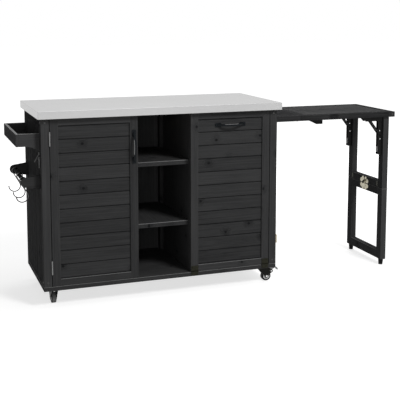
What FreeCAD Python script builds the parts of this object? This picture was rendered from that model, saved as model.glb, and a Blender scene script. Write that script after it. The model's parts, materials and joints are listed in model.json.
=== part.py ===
import FreeCAD, Part
import math
import os

# Outdoor cabinet on casters with a metal worktop, two doors, an open bay,
# a spice tray and towel rod on the left and a folding side table on the right.
# Sizes in millimetres. X runs to the right along the front, Y to the back, Z up.
# The pieces are drawn from the cabinet's front left corner at ground level and
# moved by ORIGIN at the end, so that the ground point under the middle is zero.

V = FreeCAD.Vector

# Cabinet carcass
CABINET_W = 1172.0
CABINET_D = 494.0
WORKTOP_H = 922.0
GROUND_GAP = 80.0
FLOOR_T = 21.0
POST = 38.0
TOP_RAIL_H = 38.0
TOP_RAIL_T = 18.0
SIDE_RAIL_T = 20.0
SIDE_BOTTOM_RAIL_H = 18.0
SIDE_BOARD_T = 12.0
SIDE_BOARD_COUNT = 6
BACK_BOARD_T = 10.0
BACK_BOARD_COUNT = 12
BAY_W = 264.0
DIVIDER_T = 18.0
BAY_BATTEN_W = 20.0
BAY_BATTEN_D = 38.0
SHELF_T = 22.0
SHELF_SETBACK = 14.0
UPPER_SHELF_RISE = 553.0
LOWER_SHELF_RISE = 253.0
CUPBOARD_SHELF_RISE = 404.0
SHELF_NOSE = 2.0
GROOVE = 2.0

# Worktop
SLAB_T = 35.0
SKIN_T = 1.2
OVERHANG_SIDE = 16.0
OVERHANG_DEPTH = 26.0

# Doors
DOOR_T = 20.0
DOOR_SIDE_GAP = 3.0
DOOR_FLOOR_GAP = 1.0
DOOR_TOP_GAP = 2.0
DOOR_BACK_GAP = 1.0
STILE_W = 38.0
DOOR_TOP_RAIL_H = 32.0
DOOR_BOTTOM_RAIL_H = 33.0
DOOR_SLAT_COUNT = 11
DOOR_SLAT_T = 12.0

# Handles
HANDLE_L = 160.0
HANDLE_REACH = 30.0
HANDLE_PLATE_L = 32.0
HANDLE_PLATE_W = 20.0
HANDLE_PLATE_T = 2.5
HANDLE_FOOT_INSET = 8.0
BOW_W = 11.0
BOW_T = 6.0
LEFT_HANDLE_DROP = 147.0

# Butt hinges
PIN_CLEARANCE = 0.05
KNUCKLE_GAP = 0.3
LEAF_GAP = 0.3
HINGE_STANDOFF = 0.3
DOOR_HINGE_L = 65.0
DOOR_HINGE_LEAF = 16.0
DOOR_HINGE_T = 1.2
DOOR_KNUCKLE_R = 3.5
DOOR_HINGE_PROUD = 1.5
HINGE_PIN_R = 1.5
DOOR_HINGE_TOP_INSET = 92.0
DOOR_HINGE_BOTTOM_INSET = 90.0
BIN_HINGE_L = 36.0
BIN_HINGE_UP = 30.0
BIN_HINGE_DOWN = 18.0
BIN_HINGE_T = 1.5

# Bin rack and its stops
BIN_TILT = 35.0
RACK_T = 12.0
RACK_SIDE_GAP = 14.0
RACK_DEPTH = 270.0
RACK_HEIGHT = 290.0
RACK_FLOOR_GAP = 6.0
RACK_REAR_DROP = 60.0
RACK_REAR_SLOPE = 28.0
RACK_BAR_H = 60.0
LUG_R = 5.0
LUG_L = 10.0
LUG_BEHIND_AXIS = 250.0
LUG_ABOVE_AXIS = 270.0
STOP_T = 10.0
STOP_H = 40.0
STOP_GAP = 0.5

# Magnetic catch
CATCH_W = 16.0
CATCH_D = 20.0
CATCH_H = 40.0
CATCH_GAP = 1.0

# Spice tray
TRAY_REACH = 107.0
TRAY_Y0 = 35.0
TRAY_REAR_INSET = 36.0
TRAY_DROP = 105.0
TRAY_H = 59.0
TRAY_END_H = 86.0
TRAY_BOARD_T = 12.0
TRAY_FLOOR_T = 10.0
TRAY_CURVE_REACH = 62.0
TRAY_CURVE_RISE = 5.4

# Towel rod
ROD_R = 9.0
ROD_OUT = 67.0
ROD_DROP = 332.0
ROD_SEAT = 8.0
ROD_SEAT_CLEARANCE = 0.1
BRACKET_R = 22.0
BRACKET_ROOT_H = 63.0
BRACKET_T = 18.0
BRACKET_FRONT_Y = 39.0
BRACKET_REAR_INSET = 70.0

# S hooks
WIRE_R = 2.5
HOOK_SEAT_GAP = 0.3
HOOK_TOP_R = 13.5
HOOK_LOWER_R = 28.0
HOOK_LOWER_DROP = 77.0
HOOK_LOWER_SHIFT = 4.0
HOOK_TOP_START = -20.0
HOOK_END = 185.0
HOOK_FRONT_GAP = 70.0
HOOK_SPACING = 106.0
HOOK_REAR_GAP = 16.0

# Bottle opener
OPENER_Y = 42.0
OPENER_DROP = 266.0
OPENER_L = 71.0
OPENER_W = 30.0
OPENER_T = 3.5
OPENER_REACH = 26.0
HOOD_W = 22.0
HOOD_T = 4.0
HOOD_TOP_INSET = 8.0
HOOD_DROP = 34.0
HOOD_LIP = 9.0

# Side table: fixed ledge and folding leaf
TABLE_REACH = 720.0
TABLE_DROP = 82.0
TABLE_T = 28.0
TABLE_Y0 = 69.0
TABLE_D = 408.0
LEDGE_W = 165.0
LEAF_SEAM = 1.0
TABLE_RAIL_W = 30.0
TABLE_END_W = 40.0
TABLE_SLAT_T = 12.0
TABLE_SLAT_COUNT = 6
TABLE_SLAT_GAP = 3.0
BATTEN_W = 40.0
BATTEN_X = 380.0
CLEAT_W = 20.0
CLEAT_H = 30.0
CLEAT_INSET = 27.0
GUSSET_REACH = 100.0
GUSSET_DROP = 80.0
GUSSET_T = 18.0
GUSSET_MID_INSET = 166.0
KEEPER_X0 = 213.0
KEEPER_L = 77.0
KEEPER_DROP = 20.0
KEEPER_GAP = 1.0
KEEPER_TAPER = 22.0
TABLE_HINGE_L = 60.0
TABLE_HINGE_LEAF = 26.0
TABLE_HINGE_T = 1.5
TABLE_KNUCKLE_R = 3.5
TABLE_HINGE_INSET = 70.0

# Folding legs
LEG_INSET = 43.0
LEG_W = 32.0
LEG_D = 45.0
LEG_FRONT_INSET = 12.0
LEG_REAR_INSET = 31.0
LEG_TOP_GAP = 2.0
KNEE_DROP = 390.0
KNEE_GAP = 0.5
KNEE_RAIL_H = 39.0
FOOT_RAIL_H = 45.0
FOOT_H = 32.0
FOOT_TOP_R = 14.0
FOOT_BOTTOM_R = 11.0
KNEE_HINGE_L = 36.0
KNEE_HINGE_LEAF = 30.0
KNEE_HINGE_T = 1.5
KNEE_KNUCKLE_R = 3.0

# Leg brackets: channel on the leg, ears under the leaf, flat struts between
CHANNEL_D = 26.0
CHANNEL_W = 20.0
CHANNEL_T = 2.0
LEG_PIVOT_DROP = 16.0
CHANNEL_ABOVE_PIVOT = 10.0
CHANNEL_CHAMFER = 6.0
PIVOT_R = 3.0
BASE_T = 2.0
EAR_T = 2.0
EAR_R = 8.0
EAR_AHEAD = 40.0
EAR_TAPER = 18.0
EAR_BELOW_PIVOT = 6.0
STRUT_T = 2.5
STRUT_W = 8.0
STRUT_SIDE_GAP = 0.5
STRUT_PIN_BACK = 70.0
STRUT_PIN_UP = 7.0
STRUT_FOOT_DROP = 82.0
RIVET_R = 4.0
RIVET_T = 1.5

# Knee latch
LATCH_T = 2.5
LATCH_H = 35.0
LATCH_INSET = 2.0
LATCH_BODY_H = 22.0
SIDE_LOBE_OUT = 30.0
SIDE_LOBE_R = 12.0
END_LOBE_OUT = 14.0
END_LOBE_R = 11.0
LEVER_RISE = 10.0
LEVER_T = 3.5
LEVER_HUB_R = 13.0
LEVER_PIN_R = 3.0
LEVER_HEAD_R = 5.0
LEVER_HEAD_T = 1.5
LEVER_GAP = 0.4
WING_REACH = 18.0
WING_T = 3.0
WING_OUT = 5.0
WING_HEAD_GAP = 1.0
WING_TURN = -45.0
KEEPER_LIP = 1.5
KEEPER_LIP_W = 22.0
CORNER_PLATE_W = 14.0
CORNER_PLATE_H = 26.0
CORNER_PLATE_T = 1.2
CORNER_PLATE_RISE = 8.0

# Casters
CASTER_INSET = 55.0
CASTER_PLATE = 60.0
CASTER_PLATE_T = 2.5
CASTER_TRAIL = 24.0
WHEEL_R = 25.0
TYRE_W = 22.0
HUB_R = 17.0
HUB_W = 20.0
TYRE_ROUND = 3.0
AXLE_R = 3.0
AXLE_HEAD_R = 5.0
AXLE_HEAD_T = 3.0
FORK_T = 2.5
FORK_SIDE_GAP = 1.5
FORK_TOP_Z = 69.0
RACE_R = 24.0
RACE_GAP = 0.3
KINGPIN_R = 4.0
KINGPIN_HEAD_R = 7.0
KINGPIN_HEAD_T = 1.5
AXLE_BOSS_R = 10.0
FORK_BRIDGE_REACH = 34.0
FORK_TAIL_R = 9.0
PEDAL_PIN_R = 2.0
PEDAL_PIN_HEAD_R = 3.5
PEDAL_PIN_HEAD_T = 1.2
PEDAL_PIN_OUT = 26.0
PEDAL_PIN_Z = 50.0
PEDAL_HUB_R = 4.0
PEDAL_RISE = 8.0
PEDAL_T = 5.0
PEDAL_TAIL_L = 12.0
PEDAL_FLAT_L = 12.0
PEDAL_REACH = 39.0
PEDAL_CREST = 4.5
PEDAL_LIP_DROP = 6.0
PEDAL_NOSE_BACK = 3.5
PEDAL_NOSE_DOWN = 9.0
PEDAL_NOSE_R = 1.0
PEDAL_WEB_W = 10.8
FRONT_LEFT_HEADING = 90.0
FRONT_RIGHT_HEADING = 0.0
REAR_LEFT_HEADING = -60.0
REAR_RIGHT_HEADING = 200.0
RADIUS_TOLERANCE = 1e-6

# Small pieces
SCREW_R = 4.5
SCREW_T = 1.2
SCREW_TOP_INSET = 19.0
SCREW_BOTTOM_INSET = 20.0
BUMPER_OUT = 20.0
BUMPER_Y0 = 30.0
BUMPER_W = 30.0
BUMPER_RISE = 97.0
BUMPER_H = 42.0

# Worked out from the sizes above
FLOOR_TOP = GROUND_GAP + FLOOR_T
SLAB_Z0 = WORKTOP_H - SLAB_T
DOOR_Z0 = FLOOR_TOP + DOOR_FLOOR_GAP
DOOR_Z1 = SLAB_Z0 - DOOR_TOP_GAP
BAY_X0 = (CABINET_W - BAY_W) / 2.0
BAY_X1 = BAY_X0 + BAY_W
LEFT_DOOR_X0 = POST + DOOR_SIDE_GAP
RIGHT_DOOR_X1 = CABINET_W - POST - DOOR_SIDE_GAP
INNER_Y0 = DOOR_T + DOOR_BACK_GAP
INNER_Y1 = CABINET_D - BACK_BOARD_T
SLAT_FACE = DOOR_T - DOOR_SLAT_T
PANEL_Z0 = DOOR_Z0 + DOOR_BOTTOM_RAIL_H
PANEL_Z1 = DOOR_Z1 - DOOR_TOP_RAIL_H
SLAT_PITCH = (PANEL_Z1 - PANEL_Z0) / DOOR_SLAT_COUNT
LEFT_HANDLE_Z = DOOR_Z1 - LEFT_HANDLE_DROP
UPPER_SHELF_TOP = FLOOR_TOP + UPPER_SHELF_RISE
LOWER_SHELF_TOP = FLOOR_TOP + LOWER_SHELF_RISE
CUPBOARD_SHELF_TOP = FLOOR_TOP + CUPBOARD_SHELF_RISE

TRAY_TOP = WORKTOP_H - TRAY_DROP
TRAY_L = CABINET_D - TRAY_REAR_INSET - TRAY_Y0
ROD_Z = WORKTOP_H - ROD_DROP
BRACKET_REAR_Y = CABINET_D - BRACKET_REAR_INSET - BRACKET_T
HOOK_FRONT_Y = BRACKET_FRONT_Y + BRACKET_T + HOOK_FRONT_GAP
HOOK_MIDDLE_Y = HOOK_FRONT_Y + HOOK_SPACING
HOOK_REAR_Y = BRACKET_REAR_Y - HOOK_REAR_GAP
OPENER_Z0 = WORKTOP_H - OPENER_DROP

TABLE_TOP = WORKTOP_H - TABLE_DROP
TABLE_Z0 = TABLE_TOP - TABLE_T
TABLE_Y1 = TABLE_Y0 + TABLE_D
TABLE_X0 = CABINET_W
TABLE_X1 = CABINET_W + TABLE_REACH
LEDGE_X1 = TABLE_X0 + LEDGE_W
LEAF_X0 = LEDGE_X1 + LEAF_SEAM
LEAF_AXIS_X = LEDGE_X1 + LEAF_SEAM / 2.0
LEAF_AXIS_Z = TABLE_Z0 - TABLE_KNUCKLE_R - HINGE_STANDOFF

KNEE_Z = TABLE_Z0 - KNEE_DROP
LEG_FRONT_Y = TABLE_Y0 + LEG_FRONT_INSET
LEG_REAR_Y = TABLE_Y1 - LEG_REAR_INSET - LEG_D
KEEPER_Y1 = LEG_FRONT_Y - KEEPER_GAP
LEG_CENTRE_X = TABLE_X1 - LEG_INSET
LEG_X0 = LEG_CENTRE_X - LEG_W / 2.0
LEG_X1 = LEG_CENTRE_X + LEG_W / 2.0
LEG_TOP = TABLE_Z0 - LEG_TOP_GAP
PIVOT_X = LEG_X0 - CHANNEL_D / 2.0
PIVOT_Z = TABLE_Z0 - LEG_PIVOT_DROP
KNEE_AXIS_X = LEG_X1 + KNEE_KNUCKLE_R + HINGE_STANDOFF
KNEE_MID_Y = (LEG_FRONT_Y + LEG_REAR_Y + LEG_D) / 2.0
STRUT_PIN_X = PIVOT_X - STRUT_PIN_BACK
STRUT_PIN_Z = PIVOT_Z + STRUT_PIN_UP
STRUT_FOOT_Z = PIVOT_Z - STRUT_FOOT_DROP
STRUT_LENGTH = math.hypot(STRUT_PIN_BACK, STRUT_PIN_UP + STRUT_FOOT_DROP)
STRUT_SLIDE_END = STRUT_PIN_BACK + math.sqrt(STRUT_LENGTH ** 2 - STRUT_PIN_UP ** 2)
CHANNEL_Z0 = PIVOT_Z - STRUT_SLIDE_END - STRUT_W / 2.0
BAR_INNER = CHANNEL_W / 2.0 + STRUT_SIDE_GAP
EAR_INNER = BAR_INNER + STRUT_T + STRUT_SIDE_GAP
EAR_OUTER = EAR_INNER + EAR_T

ORIGIN = V((TABLE_X1 - TRAY_REACH) / 2.0, (CABINET_D + OVERHANG_DEPTH - HANDLE_REACH) / 2.0, 0.0)


def box(x0, x1, y0, y1, z0, z1):
    return Part.makeBox(x1 - x0, y1 - y0, z1 - z0, V(x0, y0, z0))


def cylinder(start, end, radius):
    run = end - start
    return Part.makeCylinder(radius, run.Length, start, run)


def ring(start, end, radius, bore):
    return cylinder(start, end, radius).cut(cylinder(start, end, bore))


def prism(points, run):
    outline = Part.makePolygon(points + [points[0]])
    return Part.Face(outline).extrude(run)


def fused(shapes):
    whole = shapes[0].multiFuse(shapes[1:])
    return whole.removeSplitter()


def unit(vector):
    return V(vector).normalize()


def export(node, solids):
    placed = Part.Compound(solids)
    placed.translate(ORIGIN * -1.0)
    placed.exportStep("parts/" + node + ".step")


def grooved_board(corner, across, inward, along):
    """A board whose two long edges on the show face are chamfered."""
    side = unit(across) * GROOVE
    depth = unit(inward) * GROOVE
    points = [
        corner + side,
        corner + across - side,
        corner + across + depth,
        corner + across + inward,
        corner + inward,
        corner + depth,
    ]
    return prism(points, along)


def board_row(corner, across, inward, along, count, gap=0.0):
    """Boards side by side across the given vector, each with chamfered edges."""
    step = V(across) * (1.0 / count)
    width = unit(across) * (step.Length - gap)
    start = corner + unit(across) * (gap / 2.0)
    return [grooved_board(start + step * n, width, inward, along) for n in range(count)]


def butt_hinge(centre, axis, length, knuckle_r, fixed_plate, moving_plate):
    """Three knuckle hinge. The fixed leaf holds the outer knuckles and the pin."""
    start = centre - axis * (length / 2.0)

    def span(low, high, radius):
        return cylinder(start + axis * low, start + axis * high, radius)

    third = length / 3.0
    relief = knuckle_r + KNUCKLE_GAP
    pin = span(0.0, length, HINGE_PIN_R)
    outer = [span(0.0, third, knuckle_r), span(2.0 * third, length, knuckle_r)]
    fixed = fused([fixed_plate.cut(span(third, 2.0 * third, relief))] + outer + [pin])
    near = span(-KNUCKLE_GAP, third + KNUCKLE_GAP, relief)
    far = span(2.0 * third - KNUCKLE_GAP, length + KNUCKLE_GAP, relief)
    middle = span(third + KNUCKLE_GAP, 2.0 * third - KNUCKLE_GAP, knuckle_r)
    bore = span(0.0, length, HINGE_PIN_R + PIN_CLEARANCE)
    moving = fused([moving_plate.cut(near).cut(far), middle]).cut(bore)
    return fixed, moving


def bow_handle(centre, along, outward):
    """Two end plates on the door and a curved bar between them."""
    across = along.cross(outward)
    half = HANDLE_L / 2.0
    foot = half - HANDLE_FOOT_INSET

    def point(u, v):
        return centre + along * u + outward * v - across * (BOW_W / 2.0)

    outer = Part.Arc(point(-foot, 0.0), point(0.0, HANDLE_REACH), point(foot, 0.0))
    inner_foot = foot - BOW_T
    inner_top = HANDLE_REACH - BOW_T
    inner = Part.Arc(point(inner_foot, 0.0), point(0.0, inner_top), point(-inner_foot, 0.0))
    feet = [
        Part.LineSegment(point(foot, 0.0), point(inner_foot, 0.0)),
        Part.LineSegment(point(-inner_foot, 0.0), point(-foot, 0.0)),
    ]
    outline = Part.Wire([outer.toShape(), feet[0].toShape(), inner.toShape(), feet[1].toShape()])
    bar = Part.Face(outline).extrude(across * BOW_W)
    plates = []
    for sign in (-1.0, 1.0):
        middle = sign * (half - HANDLE_PLATE_L / 2.0)
        low = centre + along * (middle - HANDLE_PLATE_L / 2.0) - across * (HANDLE_PLATE_W / 2.0)
        corners = [
            low,
            low + along * HANDLE_PLATE_L,
            low + along * HANDLE_PLATE_L + across * HANDLE_PLATE_W,
            low + across * HANDLE_PLATE_W,
        ]
        plates.append(prism(corners, outward * HANDLE_PLATE_T))
    return fused([bar] + plates)


def corner_posts():
    posts = []
    for x in (0.0, CABINET_W - POST):
        for y in (0.0, CABINET_D - POST):
            posts.append(box(x, x + POST, y, y + POST, FLOOR_TOP, SLAB_Z0))
    return posts


def top_rails():
    """Rails under the slab across the two closed compartments, front and rear."""
    z0 = SLAB_Z0 - TOP_RAIL_H
    spans = ((POST, BAY_X0 - DIVIDER_T), (BAY_X1 + DIVIDER_T, CABINET_W - POST))
    rails = []
    for x0, x1 in spans:
        rails.append(box(x0, x1, INNER_Y0, INNER_Y0 + TOP_RAIL_T, z0, SLAB_Z0))
        rails.append(box(x0, x1, INNER_Y1 - TOP_RAIL_T, INNER_Y1, z0, SLAB_Z0))
    return rails


def bay_battens():
    """Uprights in the rear corners of the open bay."""
    y0 = INNER_Y1 - BAY_BATTEN_D
    return [
        box(BAY_X0, BAY_X0 + BAY_BATTEN_W, y0, INNER_Y1, FLOOR_TOP, SLAB_Z0),
        box(BAY_X1 - BAY_BATTEN_W, BAY_X1, y0, INNER_Y1, FLOOR_TOP, SLAB_Z0),
    ]


def lug_at_stop():
    """Where the rack's lug lies, behind and above the hinge, at full tilt."""
    reach = math.hypot(LUG_BEHIND_AXIS, LUG_ABOVE_AXIS)
    angle = math.atan2(LUG_ABOVE_AXIS, LUG_BEHIND_AXIS) + math.radians(BIN_TILT)
    return bin_axis() + V(0.0, reach * math.cos(angle), reach * math.sin(angle))


def stop_blocks():
    lug = lug_at_stop()
    y1 = lug.y - LUG_R - STOP_GAP
    z0 = lug.z - STOP_H / 2.0
    left = BAY_X1 + DIVIDER_T
    right = CABINET_W - POST
    return [
        box(left, left + STOP_T, INNER_Y0, y1, z0, z0 + STOP_H),
        box(right - STOP_T, right, INNER_Y0, y1, z0, z0 + STOP_H),
    ]


def cabinet_rails():
    rails = top_rails() + bay_battens()
    y0 = POST
    y1 = CABINET_D - POST
    for x in (0.0, CABINET_W - SIDE_RAIL_T):
        rails.append(box(x, x + SIDE_RAIL_T, y0, y1, SLAB_Z0 - TOP_RAIL_H, SLAB_Z0))
        rails.append(box(x, x + SIDE_RAIL_T, y0, y1, FLOOR_TOP, FLOOR_TOP + SIDE_BOTTOM_RAIL_H))
    return rails + stop_blocks()


def side_boards():
    z0 = FLOOR_TOP + SIDE_BOTTOM_RAIL_H
    along = V(0.0, 0.0, SLAB_Z0 - TOP_RAIL_H - z0)
    across = V(0.0, CABINET_D - 2.0 * POST, 0.0)
    inward = V(SIDE_BOARD_T, 0.0, 0.0)
    left = board_row(V(0.0, POST, z0), across, inward, along, SIDE_BOARD_COUNT)
    right = board_row(V(CABINET_W, POST, z0), across, inward * -1.0, along, SIDE_BOARD_COUNT)
    return left + right


def back_boards():
    corner = V(POST, CABINET_D, FLOOR_TOP)
    across = V(CABINET_W - 2.0 * POST, 0.0, 0.0)
    inward = V(0.0, -BACK_BOARD_T, 0.0)
    return board_row(corner, across, inward, V(0.0, 0.0, SLAB_Z0 - FLOOR_TOP), BACK_BOARD_COUNT)


def floor_board():
    return [box(0.0, CABINET_W, 0.0, CABINET_D, GROUND_GAP, FLOOR_TOP)]


def dividers():
    return [box(x, x + DIVIDER_T, INNER_Y0, INNER_Y1, FLOOR_TOP, SLAB_Z0)
            for x in (BAY_X0 - DIVIDER_T, BAY_X1)]


def shelf(x0, x1, top):
    """A board with a nosing line along its front edge."""
    y0 = INNER_Y0 + SHELF_SETBACK
    points = [
        V(x0, y0 + SHELF_NOSE, top - SHELF_T),
        V(x0, y0, top - SHELF_T + SHELF_NOSE),
        V(x0, y0, top - SHELF_NOSE),
        V(x0, y0 + SHELF_NOSE, top),
        V(x0, INNER_Y1, top),
        V(x0, INNER_Y1, top - SHELF_T),
    ]
    return prism(points, V(x1 - x0, 0.0, 0.0))


def shelves():
    cupboard = shelf(SIDE_BOARD_T, BAY_X0 - DIVIDER_T, CUPBOARD_SHELF_TOP)
    boards = [shelf(BAY_X0, BAY_X1, top) for top in (UPPER_SHELF_TOP, LOWER_SHELF_TOP)]
    boards.append(cupboard)
    for upright in corner_posts() + bay_battens():
        boards = [board.cut(upright) for board in boards]
    return boards


def slab_box(inset):
    return box(-OVERHANG_SIDE + inset, CABINET_W + OVERHANG_SIDE - inset,
               -OVERHANG_DEPTH + inset, CABINET_D + OVERHANG_DEPTH - inset,
               SLAB_Z0, WORKTOP_H - inset)


def spice_tray():
    y1 = TRAY_Y0 + TRAY_L
    z0 = TRAY_TOP - TRAY_H
    outer = box(-TRAY_REACH, -TRAY_REACH + TRAY_BOARD_T, TRAY_Y0, y1, z0, TRAY_TOP)
    inner_x = -TRAY_REACH + TRAY_BOARD_T
    inner_y0 = TRAY_Y0 + TRAY_BOARD_T
    inner_y1 = y1 - TRAY_BOARD_T
    floor = box(inner_x, 0.0, inner_y0, inner_y1, z0, z0 + TRAY_FLOOR_T)
    pieces = [outer, floor]
    root_z = TRAY_TOP - TRAY_END_H
    for y in (TRAY_Y0, inner_y1):
        start = V(-TRAY_CURVE_REACH, y, z0)
        end = V(0.0, y, root_z)
        middle = (start + end) * 0.5 + V(0.0, 0.0, TRAY_CURVE_RISE)
        edges = [
            Part.LineSegment(V(inner_x, y, z0), start),
            Part.Arc(start, middle, end),
            Part.LineSegment(end, V(0.0, y, TRAY_TOP)),
            Part.LineSegment(V(0.0, y, TRAY_TOP), V(inner_x, y, TRAY_TOP)),
            Part.LineSegment(V(inner_x, y, TRAY_TOP), V(inner_x, y, z0)),
        ]
        face = Part.Face(Part.Wire([edge.toShape() for edge in edges]))
        pieces.append(face.extrude(V(0.0, TRAY_BOARD_T, 0.0)))
    return pieces


def towel_bracket(y):
    """A tapered arm from the cabinet side to a round end about the rod."""
    slope = math.asin((BRACKET_ROOT_H / 2.0 - BRACKET_R) / ROD_OUT)
    rise = BRACKET_R * math.cos(slope)
    shift = BRACKET_R * math.sin(slope)
    root = BRACKET_ROOT_H / 2.0
    points = [
        V(0.0, y, ROD_Z - root),
        V(-ROD_OUT - shift, y, ROD_Z - rise),
        V(-ROD_OUT - shift, y, ROD_Z + rise),
        V(0.0, y, ROD_Z + root),
    ]
    arm = prism(points, V(0.0, BRACKET_T, 0.0))
    end = cylinder(V(-ROD_OUT, y, ROD_Z), V(-ROD_OUT, y + BRACKET_T, ROD_Z), BRACKET_R)
    return fused([arm, end])


def rod_ends():
    return BRACKET_FRONT_Y + BRACKET_T - ROD_SEAT, BRACKET_REAR_Y + ROD_SEAT


def towel_brackets():
    y0, y1 = rod_ends()
    seat = cylinder(V(-ROD_OUT, y0, ROD_Z), V(-ROD_OUT, y1, ROD_Z), ROD_R + ROD_SEAT_CLEARANCE)
    return [towel_bracket(y).cut(seat) for y in (BRACKET_FRONT_Y, BRACKET_REAR_Y)]


def towel_rod():
    y0, y1 = rod_ends()
    return [cylinder(V(-ROD_OUT, y0, ROD_Z), V(-ROD_OUT, y1, ROD_Z), ROD_R)]


def s_hook(y):
    """Wire S: a small loop over the rod, a slanted shank and a wide loop below."""
    upper = V(-ROD_OUT, y, ROD_Z + ROD_R + HOOK_SEAT_GAP + WIRE_R - HOOK_TOP_R)
    lower = upper + V(-HOOK_LOWER_SHIFT, 0.0, -HOOK_LOWER_DROP)
    run = lower - upper
    base = math.atan2(run.z, run.x)
    lean = math.asin((HOOK_TOP_R + HOOK_LOWER_R) / run.Length)
    heading = base + lean

    def on_circle(centre, radius, angle):
        return centre + V(radius * math.cos(angle), 0.0, radius * math.sin(angle))

    def arc(centre, radius, first, last):
        middle = (first + last) / 2.0
        return Part.Arc(on_circle(centre, radius, first), on_circle(centre, radius, middle),
                        on_circle(centre, radius, last))

    top_last = heading + math.pi * 1.5
    low_first = heading + math.pi * 0.5
    top_first = math.radians(HOOK_TOP_START)
    low_last = -math.pi * 2.0 + math.radians(HOOK_END)
    top_arc = arc(upper, HOOK_TOP_R, top_first, top_last)
    low_arc = arc(lower, HOOK_LOWER_R, low_first, low_last)
    shank = Part.LineSegment(on_circle(upper, HOOK_TOP_R, top_last),
                             on_circle(lower, HOOK_LOWER_R, low_first))
    path = Part.Wire([top_arc.toShape(), shank.toShape(), low_arc.toShape()])
    begin = on_circle(upper, HOOK_TOP_R, top_first)
    tangent = V(-math.sin(top_first), 0.0, math.cos(top_first))
    profile = Part.Wire([Part.Circle(begin, tangent, WIRE_R).toShape()])
    return path.makePipeShell([profile], True, False)


def bottle_opener():
    """A wall plate with a slanted hood whose lip turns back under its tip."""
    y0 = OPENER_Y - OPENER_W / 2.0
    top = OPENER_Z0 + OPENER_L
    plate = box(-OPENER_T, 0.0, y0, y0 + OPENER_W, OPENER_Z0, top)
    root_z = top - HOOD_TOP_INSET
    tip_z = root_z - HOOD_DROP
    lip_x = -OPENER_REACH + HOOD_LIP
    y = OPENER_Y - HOOD_W / 2.0
    points = [
        V(-OPENER_T, y, root_z),
        V(-OPENER_REACH, y, tip_z),
        V(lip_x, y, tip_z - HOOD_LIP),
        V(lip_x + HOOD_T, y, tip_z - HOOD_LIP + HOOD_T),
        V(-OPENER_REACH + HOOD_T, y, tip_z + HOOD_T / 2.0),
        V(-OPENER_T, y, root_z - 2.0 * HOOD_T),
    ]
    return [fused([plate, prism(points, V(0.0, HOOD_W, 0.0))])]


def door_frame(x0, x1):
    inner0 = x0 + STILE_W
    inner1 = x1 - STILE_W
    return [
        box(x0, inner0, 0.0, DOOR_T, DOOR_Z0, DOOR_Z1),
        box(inner1, x1, 0.0, DOOR_T, DOOR_Z0, DOOR_Z1),
        box(inner0, inner1, 0.0, DOOR_T, DOOR_Z0, PANEL_Z0),
        box(inner0, inner1, 0.0, DOOR_T, PANEL_Z1, DOOR_Z1),
    ]


def door_slats(x0, x1):
    corner = V(x0 + STILE_W, SLAT_FACE, PANEL_Z0)
    across = V(0.0, 0.0, PANEL_Z1 - PANEL_Z0)
    along = V(x1 - x0 - 2.0 * STILE_W, 0.0, 0.0)
    return board_row(corner, across, V(0.0, DOOR_SLAT_T, 0.0), along, DOOR_SLAT_COUNT)


def left_door_hinge(z):
    """Knuckle proud of the front, in the gap between the post and the door."""
    x = POST + DOOR_SIDE_GAP / 2.0
    centre = V(x, -DOOR_KNUCKLE_R - HINGE_STANDOFF, z)
    half = DOOR_HINGE_L / 2.0
    y0 = -DOOR_HINGE_PROUD
    fixed = box(POST, POST + DOOR_HINGE_T, y0, DOOR_HINGE_LEAF, z - half, z + half)
    moving = box(LEFT_DOOR_X0 - DOOR_HINGE_T, LEFT_DOOR_X0, y0, DOOR_HINGE_LEAF,
                 z - half, z + half)
    return butt_hinge(centre, V(0.0, 0.0, 1.0), DOOR_HINGE_L, DOOR_KNUCKLE_R, fixed, moving)


def bin_axis():
    return V(0.0, -DOOR_KNUCKLE_R - HINGE_STANDOFF, FLOOR_TOP + DOOR_FLOOR_GAP / 2.0)


def bin_hinge(x):
    """Surface leaves on the door's face and on the floor board's front edge."""
    centre = bin_axis() + V(x, 0.0, 0.0)
    half = BIN_HINGE_L / 2.0
    z = centre.z
    fixed = box(x - half, x + half, -BIN_HINGE_T, 0.0, z - BIN_HINGE_DOWN, z - LEAF_GAP)
    moving = box(x - half, x + half, -BIN_HINGE_T, 0.0, z + LEAF_GAP, z + BIN_HINGE_UP)
    return butt_hinge(centre, V(1.0, 0.0, 0.0), BIN_HINGE_L, DOOR_KNUCKLE_R, fixed, moving)


def bin_rack():
    """Two cheeks, a floor and a rear bar that carry a bin behind the door."""
    y0 = DOOR_T
    y1 = DOOR_T + RACK_DEPTH
    z0 = FLOOR_TOP + RACK_FLOOR_GAP
    z1 = z0 + RACK_HEIGHT
    left = BAY_X1 + DIVIDER_T + RACK_SIDE_GAP
    right = CABINET_W - POST - RACK_SIDE_GAP
    axis = bin_axis()
    pieces = []
    for x, lug_x0 in ((left, left - LUG_L), (right - RACK_T, right)):
        points = [
            V(x, y0, z0),
            V(x, y1, z0),
            V(x, y1, z1 - RACK_REAR_DROP),
            V(x, y1 - RACK_REAR_SLOPE, z1),
            V(x, y0, z1),
        ]
        cheek = prism(points, V(RACK_T, 0.0, 0.0))
        lug_y = axis.y + LUG_BEHIND_AXIS
        lug_z = axis.z + LUG_ABOVE_AXIS
        lug = cylinder(V(lug_x0, lug_y, lug_z), V(lug_x0 + LUG_L, lug_y, lug_z), LUG_R)
        pieces.append(fused([cheek, lug]))
    inner0 = left + RACK_T
    inner1 = right - RACK_T
    pieces.append(box(inner0, inner1, y0, y1, z0, z0 + RACK_T))
    bar_z = z1 - RACK_REAR_DROP - RACK_BAR_H
    pieces.append(box(inner0, inner1, y1 - RACK_T, y1, bar_z, bar_z + RACK_BAR_H))
    return pieces


def door_catch():
    """Magnet block on the divider behind the free edge of the left door."""
    x1 = BAY_X0 - DIVIDER_T
    z1 = SLAB_Z0 - TOP_RAIL_H
    y0 = DOOR_T + CATCH_GAP
    return [box(x1 - CATCH_W, x1, y0, y0 + CATCH_D, z1 - CATCH_H, z1)]


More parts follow.
